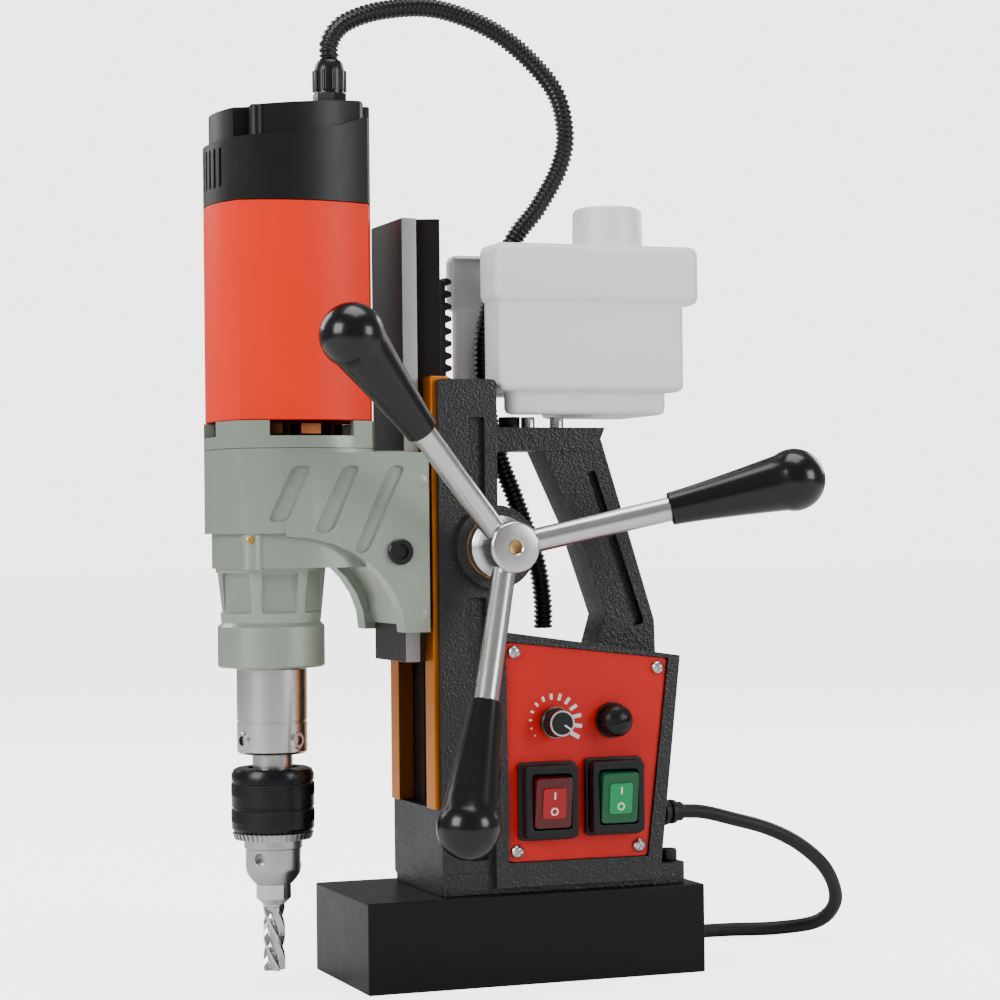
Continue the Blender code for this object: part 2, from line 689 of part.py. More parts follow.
def side_pockets():
    """Return the shallow pockets in the column's two sides and in the handle leg."""
    depth = 0.003
    shapes = []
    leg_slot = rounded([(0.0415, 0.2560), (0.0455, 0.2570), (0.0725, 0.1775), (0.0665, 0.1760)], 0.0015)
    for side in (-1, 1):
        face, beyond = side * (COLUMN_HALF_WIDTH - depth), side * (COLUMN_HALF_WIDTH + 0.001)
        low, high = min(face, beyond), max(face, beyond)
        shapes.append(prism(rounded([(-0.0330, 0.2405), (-0.0245, 0.2405), (-0.0245, 0.2830),
                                     (-0.0330, 0.2830)], 0.0015), "X", low, high))
        shapes.append(prism(rounded([(-0.0340, 0.0620), (-0.0245, 0.0620), (-0.0245, 0.1930),
                                     (-0.0340, 0.1930)], 0.0015), "X", low, high))
        face, beyond = side * (HANDLE_HALF_WIDTH - 0.005), side * (HANDLE_HALF_WIDTH + 0.001)
        shapes.append(prism(leg_slot, "X", min(face, beyond), max(face, beyond)))
    return shapes


def build_rails(stand):
    """Make the two anodised strips that hold the slide's dovetail."""
    rear = SLIDE_REAR + GAP
    slope = (DOVETAIL_WIDE - DOVETAIL_NARROW) / (SLIDE_REAR - RAIL_FRONT)
    narrow = DOVETAIL_NARROW + SLIDING
    wide = narrow + slope * (rear - RAIL_FRONT)
    outline = [(narrow, RAIL_FRONT), (RAIL_OUTER, RAIL_FRONT), (RAIL_OUTER, rear), (wide, rear)]
    top = COLUMN_TOP + RAIL_OVERHANG
    add_piece("guide_rail_near", prism(outline, "Z", RAIL_BOTTOM, top), "gold_anodised", stand)
    mirrored = [(-x, y) for x, y in outline]
    add_piece("guide_rail_far", prism(mirrored, "Z", RAIL_BOTTOM, top), "gold_anodised", stand)


def build_stand_hardware(stand):
    """Make the pinion bushes, the flange screws and the panel screws."""
    capstan = (0, CAPSTAN_Y, CAPSTAN_Z)
    bore = CAPSTAN_SHAFT_RADIUS + RUNNING
    inner_end = PINION_HALF_WIDTH + 0.0015
    add_piece("pinion_bush_near",
              sleeve(NEAR_BUSH_RADIUS, bore, "X", capstan, inner_end, BOSS_NEAR_FACE - GAP, 32),
              "bronze", stand)
    add_piece("pinion_bush_far",
              sleeve(FAR_BUSH_RADIUS, bore, "X", capstan, -BOSS_NEAR_FACE + GAP, -inner_end - GAP, 32),
              "bronze", stand)
    seat = MAGNET_HEIGHT + GAP + FLANGE_THICKNESS
    for name, side in (("base_screw_near", 1), ("base_screw_far", -1)):
        spot = (side * BASE_SCREW_SPOT[0], BASE_SCREW_SPOT[1], seat)
        head, shank = BASE_SCREW_RADIUS, SCREW_SHANK_RADIUS
        profile = [(0, -0.0065), (shank, -0.0065), (shank, GAP), (head, GAP), (head, BASE_SCREW_HEIGHT),
                   (head * 0.55, BASE_SCREW_HEIGHT), (head * 0.55, 0.003), (0, 0.003)]
        add_piece(name, turned(profile, "Z", spot, 20), "dark_steel", stand)
    for number, (y, z) in enumerate(PANEL_SCREW_SPOTS, start=1):
        head, shank = SCREW_HEAD_RADIUS, SCREW_SHANK_RADIUS
        profile = [(0, -0.008), (shank, -0.008), (shank, GAP), (head, GAP), (head, 0.0012),
                   (head * 0.75, 0.0022), (0, 0.0027)]
        add_piece(f"panel_screw_{number}", turned(profile, "X", (PANEL_FACE, y, z), 16), "zinc", stand)


def build_control_panel(stand):
    """Make the red plate with its holes, and the circuit board behind it."""
    plate = prism(rounded(PANEL_OUTLINE, 0.002), "X", PANEL_FACE - PANEL_THICKNESS, PANEL_FACE)
    panel = add_piece("control_panel", plate, "red_paint", stand)
    low, high = PANEL_FACE - 0.01, PANEL_FACE + 0.01
    half = (SWITCH_BODY_HALF_SIZE[0] + GAP, SWITCH_BODY_HALF_SIZE[1] + GAP)
    for spot in SWITCH_SPOTS.values():
        cut(panel, prism(rounded_rectangle(spot, half, 0.001, 2), "X", low, high))
    cut(panel, rod(0.0045 + GAP, "X", (0, *KNOB_SPOT), low, high, 20),
        rod(0.0060 + GAP, "X", (0, *FUSE_SPOT), low, high, 20))
    for y, z in PANEL_SCREW_SPOTS:
        cut(panel, rod(SCREW_SHANK_RADIUS + GAP, "X", (0, y, z), low, high, 12))
    floor = BOX_FAR_FACE + BOX_WALL
    board = add_piece("control_board", box((floor + 0.006, 0.0, 0.078), (floor + 0.0076, 0.044, 0.146)),
                      "board", stand)
    join(board, box((floor + 0.0070, 0.006, 0.086), (floor + 0.020, 0.022, 0.104)),
         rod(0.007, "X", (0, 0.032, 0.126), floor + 0.0070, floor + 0.026, 20),
         box((floor + 0.0070, 0.008, 0.112), (floor + 0.018, 0.020, 0.138)),
         rod(0.003, "X", (0, 0.022, 0.082), floor + GAP, floor + 0.0070, 12),
         rod(0.003, "X", (0, 0.022, 0.142), floor + GAP, floor + 0.0070, 12))


def build_switch(stand, name, rocker_finish):
    """Make one rocker switch: a framed body in the panel and a rocker on its own axis."""
    spot = SWITCH_SPOTS[name]
    seat = PANEL_FACE + GAP
    flange = prism(rounded_rectangle(spot, SWITCH_HALF_SIZE, 0.002, 2), "X", seat, seat + 0.0025)
    body = add_piece(f"{name}_switch_body", flange, "black_plastic", stand)
    guard_half = (SWITCH_HALF_SIZE[0] - 0.0015, SWITCH_HALF_SIZE[1] - 0.0015)
    guard = prism(rounded_rectangle(spot, guard_half, 0.002, 2), "X", seat + 0.001, SWITCH_GUARD_FACE)
    join(body, guard, prism(rounded_rectangle(spot, SWITCH_BODY_HALF_SIZE, 0.001, 2), "X",
                            PANEL_FACE - 0.022, seat + 0.001))
    room = (ROCKER_HALF_SIZE[0] + 0.0005, ROCKER_HALF_SIZE[1] + 0.0009)
    pocket_floor = SWITCH_GUARD_FACE - 0.0066
    cut(body, prism(rounded_rectangle(spot, room, 0.001, 2), "X", pocket_floor, SWITCH_GUARD_FACE + 0.01))
    axis_x = SWITCH_GUARD_FACE - 0.002
    pivot = add_empty(f"{name}_rocker_axis", (axis_x, *spot), stand)
    (a, b), back = ROCKER_HALF_SIZE, axis_x - 0.0015
    rocker = prism(rounded_rectangle(spot, (a, b), 0.0015, 2), "X", back, back + ROCKER_DEPTH)
    bmesh.ops.rotate(rocker, cent=(axis_x, *spot), verts=rocker.verts,
                     matrix=Matrix.Rotation(ROCKER_TILT, 3, "Y"))
    add_piece(f"{name}_switch_rocker", rocker, rocker_finish, pivot)


def build_dials(stand):
    """Make the speed control with its knob, and the fuse holder with its cap."""
    seat = PANEL_FACE + GAP
    ledge = PANEL_FACE - PANEL_THICKNESS - GAP
    y, z = KNOB_SPOT
    shaft_end = seat + KNOB_HEIGHT - 0.003
    profile = [(0, ledge - 0.012), (0.011, ledge - 0.012), (0.011, ledge), (0.0045, ledge),
               (0.0045, seat + 0.002), (POT_SHAFT_RADIUS, seat + 0.002), (POT_SHAFT_RADIUS, shaft_end),
               (0, shaft_end)]
    add_piece("speed_control", turned(profile, "X", (0, y, z), 24), "zinc", stand)
    axis = add_empty("speed_knob_axis", (seat, y, z), stand)
    foot, crown = seat + 0.0025, seat + KNOB_HEIGHT
    flutes = [(y + r * math.cos(a), z + r * math.sin(a)) for r, a in
              [(KNOB_RADIUS * (1 - 0.05 * (index % 2)), math.tau * index / 36) for index in range(36)]]
    knob = add_piece("speed_knob", prism(flutes, "X", foot, crown), "black_plastic", axis)
    cut(knob, rod(POT_SHAFT_RADIUS + GAP, "X", (0, y, z), foot - 0.001, shaft_end + GAP, 24))
    y, z = FUSE_SPOT
    profile = [(0, ledge - 0.022), (0.0060, ledge - 0.022), (0.0060, seat), (0.0090, seat),
               (0.0090, seat + 0.0022), (0, seat + 0.0022)]
    add_piece("fuse_holder", turned(profile, "X", (0, y, z), 24), "black_plastic", stand)
    axis = add_empty("fuse_cap_axis", (seat, y, z), stand)
    low = seat + 0.0022 + GAP
    profile = [(0, low), (FUSE_RADIUS, low), (FUSE_RADIUS, low + 0.0065), (FUSE_RADIUS * 0.8, low + 0.009),
               (FUSE_RADIUS * 0.45, low + 0.0102), (0, low + 0.0105)]
    cap = add_piece("fuse_cap", turned(profile, "X", (0, y, z), 28), "black_plastic", axis)
    cut(cap, box((low + 0.0085, y - 0.0045, z - 0.0008), (low + 0.012, y + 0.0045, z + 0.0008)))


def build_cord(stand):
    """Make the mains lead: gland, free run, wound part, tail and plug."""
    wall = box_rear(CORD_EXIT_HEIGHT) + 0.0018
    end = CORD_ROUTE[0][1] - GAP
    profile = [(0, wall - 0.012), (0.0060, wall - 0.012), (0.0060, wall), (0.0115, wall),
               (0.0115, wall + 0.014), (0.0100, wall + 0.020), (0.0070, end - 0.003), (0.0055, end),
               (0, end)]
    add_piece("cord_gland", turned(profile, "Y", (0, 0, CORD_EXIT_HEIGHT), 24), "black_plastic", stand)
    add_tube("power_cord", CORD_ROUTE, CORD_RADIUS, "rubber", stand)
    add_piece("power_cord_coil", sleeve(COIL_OUTER_RADIUS, COIL_INNER_RADIUS, "Z", (*COIL_CENTRE, GAP),
                                        0, COIL_HEIGHT - GAP, 32), "rubber", stand)
    add_tube("power_cord_tail", TAIL_ROUTE, CORD_RADIUS, "rubber", stand)
    plug = add_piece("power_plug", box(PLUG_LOW, PLUG_HIGH), "rubber", stand)
    middle_y = (PLUG_LOW[1] + PLUG_HIGH[1]) / 2
    middle_z = (PLUG_LOW[2] + PLUG_HIGH[2]) / 2
    blade_end = PLUG_LOW[0] - 0.018
    inside = PLUG_LOW[0] + 0.004
    for offset in (-0.0064, 0.0064):
        y = middle_y + offset
        join(plug, box((blade_end, y - 0.00075, middle_z - 0.0005), (inside, y + 0.00075, middle_z + 0.0057)))
    join(plug, rod(0.0023, "X", (0, middle_y, middle_z - 0.0045), blade_end - 0.002, inside, 12))


# --- Coolant tank ---------------------------------------------------------------------------
def tank_outline(step_in, band=False):
    """Return the tank's plan, with the notch in its front for the conduit."""
    step_out = TANK_BAND_STEP if band else 0.0
    rear = TANK_REAR + (TANK_BAND_REAR_STEP if band else 0.0) - step_in
    half = TANK_HALF_WIDTH - TANK_BAND_STEP + step_out - step_in
    front = TANK_FRONT - step_out + step_in
    notch_low, notch_high, notch_end = TANK_NOTCH
    if band:
        notch_low, notch_high, notch_end = notch_low + GAP, notch_high - GAP, notch_end - GAP
    corners = [(-half, rear), (-half, front), (notch_low - step_in, front),
               (notch_low - step_in, notch_end + step_in), (notch_high + step_in, notch_end + step_in),
               (notch_high + step_in, front), (half, front), (half, rear)]
    return rounded(corners, 0.0035 - 0.8 * step_in)


def foot_outline(step_in):
    """Return the plan of the narrower foot, which passes beside and behind the conduit notch."""
    half = TANK_HALF_WIDTH - TANK_BAND_STEP - TANK_FOOT_STEP - step_in
    rear = TANK_REAR - TANK_FOOT_STEP - step_in
    front = TANK_FRONT + TANK_FOOT_STEP + step_in
    side = TANK_NOTCH[1] + TANK_FOOT_STEP + step_in
    notch_end = TANK_NOTCH[2] + TANK_FOOT_STEP + step_in
    corners = [(-half, rear), (-half, notch_end), (side, notch_end), (side, front), (half, front),
               (half, rear)]
    return rounded(corners, 0.0035 - 0.8 * step_in)


def build_tank(stand):
    """Make the coolant bottle with its filler neck, screw cap, studs and outlet."""
    tank = add_piece("coolant_tank", prism(tank_outline(0.0), "Z", TANK_FOOT_TOP, TANK_TOP - 0.002),
                     "white_plastic", stand)
    filler = (0, FILLER_Y, 0)
    join(tank, prism(tank_outline(0.0, band=True), "Z", TANK_BAND_BOTTOM, TANK_TOP),
         prism(foot_outline(0.0), "Z", TANK_BASE, TANK_FOOT_TOP + 0.001),
         rod(FILLER_RADIUS, "Z", filler, TANK_TOP - 0.001, FILLER_TOP))
    cut(tank, prism(tank_outline(TANK_WALL), "Z", TANK_FOOT_TOP + TANK_WALL, TANK_TOP - TANK_WALL),
        prism(tank_outline(TANK_WALL, band=True), "Z", TANK_BAND_BOTTOM + TANK_WALL, TANK_TOP - TANK_WALL),
        prism(foot_outline(TANK_WALL), "Z", TANK_BASE + 2 * TANK_WALL, TANK_FOOT_TOP + 0.003),
        rod(FILLER_RADIUS - TANK_WALL, "Z", filler, TANK_TOP - 0.003, FILLER_TOP + 0.01))
    axis = add_empty("tank_cap_axis", (0, FILLER_Y, TANK_TOP), stand)
    low, radius, inner = TANK_TOP + GAP, TANK_CAP_RADIUS, FILLER_RADIUS + GAP
    profile = [(0, FILLER_TOP + GAP), (inner, FILLER_TOP + GAP), (inner, low), (radius, low),
               (radius - 0.0006, TANK_CAP_TOP - 0.001), (radius - 0.002, TANK_CAP_TOP), (0, TANK_CAP_TOP)]
    add_piece("tank_cap", turned(profile, "Z", filler, 28), "white_plastic", axis)
    for name, (x, y) in zip(("tank_stud_front", "tank_stud_rear"), STUD_SPOTS):
        stud = rod(STUD_RADIUS, "Z", (x, y, 0), HANDLE_BAR_TOP - 0.0075, TANK_BASE - GAP, 16)
        add_piece(name, stud, "polished_steel", stand)
    x, y = OUTLET_SPOT
    add_piece("tank_outlet", rod(0.0055, "Z", (x, y, 0), HANDLE_BAR_TOP + GAP, TANK_BASE - GAP, 16),
              "rubber", stand)


# --- Capstan --------------------------------------------------------------------------------
def build_capstan(stand):
    """Make the feed pinion's shaft, the hub and the three levers."""
    centre = (0, CAPSTAN_Y, CAPSTAN_Z)
    capstan = add_empty("capstan_axis", centre, stand)
    shaft_end = HUB_FRONT - 0.008
    shaft = rod(CAPSTAN_SHAFT_RADIUS, "X", centre, -BOSS_NEAR_FACE - 0.0015, shaft_end)
    pinion = add_piece("pinion_shaft", shaft, "ground_steel", capstan)
    teeth = gear_outline(PINION_TEETH, FEED_MODULE, (CAPSTAN_Y, CAPSTAN_Z), math.pi)
    join(pinion, prism(teeth, "X", -PINION_HALF_WIDTH, PINION_HALF_WIDTH))
    bore = CAPSTAN_SHAFT_RADIUS + GAP
    bore_end = shaft_end + 2 * GAP
    profile = [(0, bore_end), (bore, bore_end), (bore, HUB_BACK), (0.0155, HUB_BACK),
               (0.0155, HUB_BACK + 0.006), (HUB_RADIUS, HUB_BACK + 0.0075),
               (HUB_RADIUS, HUB_FRONT - 0.001), (HUB_RADIUS - 0.001, HUB_FRONT),
               (0.0035, HUB_FRONT), (0, HUB_FRONT - 0.003)]
    hub = add_piece("lever_hub", turned(profile, "X", centre, 32), "polished_steel", capstan)
    inner_end = CAPSTAN_SHAFT_RADIUS + 0.0035
    grip_start = BALL_REACH + BALL_RADIUS - GRIP_LENGTH
    for number in range(LEVER_COUNT):
        phase = LEVER_PHASE + math.tau * number / LEVER_COUNT
        arm = add_empty(f"lever_axis_{number + 1}", (ROD_CROSSING, CAPSTAN_Y, CAPSTAN_Z), capstan,
                        (phase, 0, 0))
        lean = (0, 0, -LEVER_LEAN)
        hole = add_local(f"lever_hole_{number + 1}",
                         rod(ROD_RADIUS + GAP, "Y", (0, 0, 0), inner_end - GAP, 0.03, 18), "zinc", arm, lean)
        hole.hide_render = True
        hole.display_type = "WIRE"
        drilled = hub.modifiers.new(hole.name, "BOOLEAN")
        drilled.operation = "DIFFERENCE"
        drilled.object = hole
        bar = rod(ROD_RADIUS, "Y", (0, 0, 0), inner_end, grip_start + 0.024, 18)
        add_local(f"lever_rod_{number + 1}", bar, "polished_steel", arm, lean)
        add_local(f"lever_grip_{number + 1}", grip_shape(grip_start), "black_plastic", arm, lean)


def grip_shape(start):
    """Return a pear-shaped grip with a blind bore, along the lever's own Y axis."""
    bore = ROD_RADIUS + GAP
    profile = [(0, start + 0.025), (bore, start + 0.025), (bore, start), (GRIP_NECK_RADIUS, start)]
    swell = math.radians(25)
    end_y = BALL_REACH - BALL_RADIUS * math.sin(swell)
    end_r = BALL_RADIUS * math.cos(swell)
    for step in range(1, 5):
        share = step / 5
        eased = share ** 1.25
        profile.append((GRIP_NECK_RADIUS + (end_r - GRIP_NECK_RADIUS) * eased, start + (end_y - start) * share))
    for step in range(5):
        angle = -swell + (math.pi / 2 + swell) * step / 5
        profile.append((BALL_RADIUS * math.cos(angle), BALL_REACH + BALL_RADIUS * math.sin(angle)))
    profile.append((0, BALL_REACH + BALL_RADIUS))
    return turned(profile, "Y", (0, 0, 0), 18)


# --- Carriage -------------------------------------------------------------------------------
def build_slide(carriage):
    """Make the dovetail slide and the rack on its back."""
    top = SLIDE_BOTTOM + SLIDE_LENGTH
    plate_rear = SLIDE_FRONT + SLIDE_PLATE
    neck = DOVETAIL_NARROW - 0.001
    half = [(SLIDE_HALF_WIDTH, SLIDE_FRONT), (SLIDE_HALF_WIDTH, plate_rear), (neck, plate_rear),
            (neck, RAIL_FRONT - 0.002), (DOVETAIL_NARROW, RAIL_FRONT), (DOVETAIL_WIDE, SLIDE_REAR)]
    outline = half + [(-x, y) for x, y in reversed(half)]
    add_piece("slide", prism(outline, "Z", SLIDE_BOTTOM, top), "slide_paint", carriage)
    pitch_y = CAPSTAN_Y - FEED_MODULE * PINION_TEETH / 2
    low = RACK_TOP - math.pi * FEED_MODULE * RACK_TEETH
    outline = rack_outline(SLIDE_REAR + GAP, pitch_y, CAPSTAN_Z, low)
    add_piece("rack", prism(outline, "X", -RACK_HALF_WIDTH, RACK_HALF_WIDTH), "ground_steel", carriage)


def cheek_outline():
    """Return the side view of one cheek, with the concave arc under it."""
    front, arc_top, arc_end = -0.128, 0.2245, -0.0675
    points = [(front, CASE_TOP - 0.002), (front, arc_top)]
    for step in range(1, 9):
        share = step / 8
        angle = math.radians(90) * share
        points.append((front + (arc_end - front) * math.sin(angle),
                       CHEEK_BOTTOM + (arc_top - CHEEK_BOTTOM) * math.cos(angle)))
    return points + [(CHEEK_REAR, CHEEK_BOTTOM), (CHEEK_REAR, CASE_TOP - 0.002)]


def web_outline(front, rear):
    """Return the side view of the web between the cheeks, arched a little above their arc."""
    arc_front, arc_end, low, high = -0.128, -0.0640, CHEEK_BOTTOM + 0.0036, 0.228
    points = [(front, CASE_TOP - 0.001)]
    for step in range(9):
        y = front + (arc_end - front) * step / 8
        share = (y - arc_front) / (arc_end - arc_front)
        points.append((y, low + (high - low) * math.sqrt(max(0.0, 1 - share * share))))
    return points + [(rear, low), (rear, CASE_TOP - 0.001)]


def countershaft_spot():
    """Return where the countershaft stands, as far from the armature as from the spindle."""
    centre_distance = GEAR_MODULE * (SMALL_TEETH + LARGE_TEETH) / 2
    half_offset = (MOTOR_Y - SPINDLE_Y) / 2
    return (math.sqrt(centre_distance ** 2 - half_offset ** 2), SPINDLE_Y + half_offset)


def build_gear_case(carriage):
    """Make the gear housing with its neck, cheeks and bores, and the vented cover over it."""
    outline = motor_section(-CASE_STEP)
    case = add_piece("gear_housing", prism(outline, "Z", CASE_BOTTOM, CASE_TOP), "grey_paint", carriage)
    web_front, web_rear = MOTOR_REAR - 0.004, SLIDE_FRONT - GAP
    axis = (0, SPINDLE_Y, 0)
    collar = COLLAR_RADIUS
    neck = [(0, COLLAR_BOTTOM), (collar - 0.001, COLLAR_BOTTOM), (collar, COLLAR_BOTTOM + 0.001),
            (collar, COLLAR_TOP - 0.002), (collar - 0.002, COLLAR_TOP), (0.0250, COLLAR_TOP + 0.002),
            (0.0275, NECK_TOP), (0.0275, NECK_TOP + 0.004), (0, NECK_TOP + 0.004)]
    join(case, prism(motor_section(0.0025), "Z", NECK_TOP, CASE_BOTTOM + 0.004),
         prism(cheek_outline(), "X", CHEEK_INNER, CHEEK_OUTER),
         prism(cheek_outline(), "X", -CHEEK_OUTER, -CHEEK_INNER),
         prism(web_outline(web_front, web_rear), "X", -CHEEK_INNER - 0.002, CHEEK_INNER + 0.002),
         turned(neck, "Z", axis, 32))
    countershaft = (*countershaft_spot(), 0)
    seat = COLLAR_BOTTOM + 0.0006 + LOWER_BEARING_HEIGHT
    upper_seat = CASE_FLOOR - 0.0018 - UPPER_BEARING_HEIGHT
    cut(case, prism(motor_section(CASE_WALL), "Z", CASE_FLOOR, CASE_TOP + 0.01),
        rod(LOWER_BEARING_RADIUS + GAP, "Z", axis, COLLAR_BOTTOM - 0.01, seat, 28),
        rod(0.0110, "Z", axis, seat - 0.001, CASE_FLOOR + 0.001),
        rod(UPPER_BEARING_RADIUS + GAP, "Z", axis, upper_seat, CASE_FLOOR + 0.001),
        rod(COUNTERSHAFT_RADIUS + RUNNING, "Z", countershaft, CASE_FLOOR - 0.006, CASE_FLOOR + 0.001, 24))
    cut(case, *clamp_screw_holes())
    add_piece("spindle_bearing_lower",
              sleeve(LOWER_BEARING_RADIUS, SPINDLE_RADIUS + RUNNING, "Z", axis, COLLAR_BOTTOM + 0.0006,
                     seat - GAP, 28), "polished_steel", carriage)
    add_piece("spindle_bearing_upper",
              sleeve(UPPER_BEARING_RADIUS, SPINDLE_TIP_RADIUS + RUNNING, "Z", axis, upper_seat + GAP,
                     CASE_FLOOR - 0.0015), "polished_steel", carriage)
    build_case_cover(carriage, outline, countershaft)


def build_case_cover(carriage, outline, countershaft):
    """Make the cover that closes the gear chamber and carries the motor, with air windows."""
    bottom, top = CASE_TOP + GAP, MOTOR_BOTTOM - GAP
    cover = add_piece("gear_cover", prism(outline, "Z", bottom, top), "grey_paint", carriage)
    floor = bottom + COVER_FLOOR
    window = floor + 0.0025
    side = MOTOR_CORNER_X + MOTOR_BULGE + 0.01
    front = MOTOR_FRONT - MOTOR_BULGE - 0.01
    cut(cover, prism(motor_section(CASE_WALL), "Z", floor, top + 0.01),
        box((-side, MOTOR_FRONT + 0.013, window), (side, MOTOR_REAR - 0.010, top + 0.01)),
        box((-0.012, front, window), (0.012, MOTOR_FRONT + 0.01, top + 0.01)),
        rod(0.0050 + RUNNING, "Z", (0, MOTOR_Y, 0), bottom - 0.01, floor + 0.01, 24),
        rod(COUNTERSHAFT_RADIUS + RUNNING, "Z", countershaft, bottom - 0.01, floor - 0.001, 24))


def clamp_screw_holes():
    """Return the cross holes for the two gib screws in the cheeks."""
    low, high = CHEEK_INNER - 0.002, CHEEK_OUTER + 0.01
    spot = (0, -0.0700, 0.2163)
    return [rod(0.0030 + GAP, "X", spot, low, high, 16), rod(0.0030 + GAP, "X", spot, -high, -low, 16)]


def build_clamp_screws(carriage):
    """Make the socket screws that clamp the cheeks."""
    for name, side in (("clamp_screw_near", 1), ("clamp_screw_far", -1)):
        face = CHEEK_OUTER + GAP
        profile = [(0, CHEEK_INNER + 0.001), (0.0030, CHEEK_INNER + 0.001), (0.0030, face), (0.0064, face),
                   (0.0064, face + 0.0022), (0.0034, face + 0.0022), (0.0034, face + 0.0008),
                   (0, face + 0.0008)]
        shape = turned([(r, side * along) for r, along in profile], "X", (0, -0.0700, 0.2163), 24)
        add_piece(name, shape, "dark_steel", carriage)


def build_motor(carriage):
    """Make the motor's housing, field core and top cap, and the gland of the conduit."""
    outline = motor_section()
    add_piece("motor_housing", ring_prism(outline, motor_section(MOTOR_WALL), "Z", MOTOR_BOTTOM, MOTOR_TOP),
              "orange_plastic", carriage)
    inside = motor_section(MOTOR_WALL + GAP)
    add_piece("field_core", ring_prism(inside, circle_like(inside, (0, MOTOR_Y), 0.0228), "Z", 0.302, 0.358),
              "dark_steel", carriage)
    bottom = MOTOR_TOP + GAP
    front, rear = MOTOR_FRONT - MOTOR_BULGE, MOTOR_REAR + MOTOR_BULGE
    cap = add_piece("motor_top_cap", prism(outline, "Z", bottom, CAP_RING_REAR), "black_plastic", carriage)
    lid = prism(motor_section(0.002), "Z", CAP_RING_FRONT - 0.004, CAP_REAR_HEIGHT)
    ring_slope = [(front - 0.005, CAP_RING_FRONT), (-0.112, 0.4235), (rear + 0.005, CAP_RING_REAR + 0.001),
                  (rear + 0.005, CAP_REAR_HEIGHT + 0.01), (front - 0.005, CAP_REAR_HEIGHT + 0.01)]
    lid_slope = [(front - 0.005, CAP_FRONT_HEIGHT), (rear - 0.004, CAP_REAR_HEIGHT),
                 (rear + 0.005, CAP_REAR_HEIGHT), (rear + 0.005, CAP_REAR_HEIGHT + 0.01),
                 (front - 0.005, CAP_REAR_HEIGHT + 0.01)]
    cut(cap, prism(ring_slope, "X", -0.06, 0.06))
    join(cap, lid)
    cut(cap, prism(lid_slope, "X", -0.06, 0.06), prism(motor_section(MOTOR_WALL), "Z", bottom - 0.01, 0.404),
        rod(0.0050 + RUNNING, "Z", (0, MOTOR_Y, 0), 0.403, 0.414, 24))
    base = CAP_REAR_HEIGHT + 0.0015
    end = CONDUIT_ROUTE[-1][2] - 2 * GAP
    profile = [(0, base), (0.0080, base), (0.0080, base + 0.006), (0.0087, base + 0.0065),
               (0.0087, end - 0.003), (0.0078, end), (0, end)]
    add_piece("conduit_gland", turned(profile, "Z", (0, GLAND_Y, 0), 24), "black_plastic", carriage)


# --- Turning parts --------------------------------------------------------------------------
def mesh_phase(direction, teeth):
    """Return the phase that puts a tooth gap towards a direction."""
    return direction + math.pi / teeth


def build_gear_train(carriage):
    """Make the armature with its fan and pinion, and the countershaft with both its gears."""
    x, y = countershaft_spot()
    to_armature = math.atan2(MOTOR_Y - y, -x)
    to_spindle = math.atan2(SPINDLE_Y - y, -x)
    armature = add_empty("armature_axis", (0, MOTOR_Y, 0.330), carriage)
    shaft, low, gear_top = 0.0050, ARMATURE_GEAR_BOTTOM, ARMATURE_GEAR_BOTTOM + GEAR_FACE + 0.001
    profile = [(0, gear_top - 0.001), (shaft, gear_top - 0.001), (shaft, 0.2745), (0.0090, 0.2745),
               (0.0090, 0.2805), (shaft, 0.2805), (shaft, 0.304), (0.0220, 0.304), (0.0220, 0.356),
               (shaft, 0.356), (shaft, 0.366), (0.0120, 0.366), (0.0120, 0.384), (shaft, 0.384),
               (shaft, 0.412), (0, 0.412)]
    rotor = add_piece("armature", turned(profile, "Z", (0, MOTOR_Y, 0), 32), "copper", armature)
    blades = []
    for blade in range(9):
        start = math.tau * blade / 9
        for radius, offset in ((0.0080, 0.0), (0.0290, 0.0), (0.0290, 0.38), (0.0080, 0.60)):
            angle = start + offset
            blades.append((radius * math.cos(angle), MOTOR_Y + radius * math.sin(angle)))
    pinion = gear_outline(SMALL_TEETH, GEAR_MODULE, (0, MOTOR_Y), to_armature + math.pi)
    join(rotor, prism(pinion, "Z", low, gear_top), prism(blades, "Z", 0.2750, 0.2800))
    counter = add_empty("countershaft_axis", (x, y, 0.245), carriage)
    shaft = rod(COUNTERSHAFT_RADIUS, "Z", (x, y, 0), CASE_FLOOR - 0.0055, CASE_TOP + 0.0020, 24)
    gear = add_piece("intermediate_gear", shaft, "ground_steel", counter)
    large = gear_outline(LARGE_TEETH, GEAR_MODULE, (x, y), mesh_phase(to_armature, LARGE_TEETH))
    small = gear_outline(SMALL_TEETH, GEAR_MODULE, (x, y), to_spindle)
    join(gear, prism(large, "Z", low - LARGE_GEAR_DROP, low + GEAR_FACE),
         prism(small, "Z", SPINDLE_GEAR_BOTTOM - 0.0005, low + 0.001))


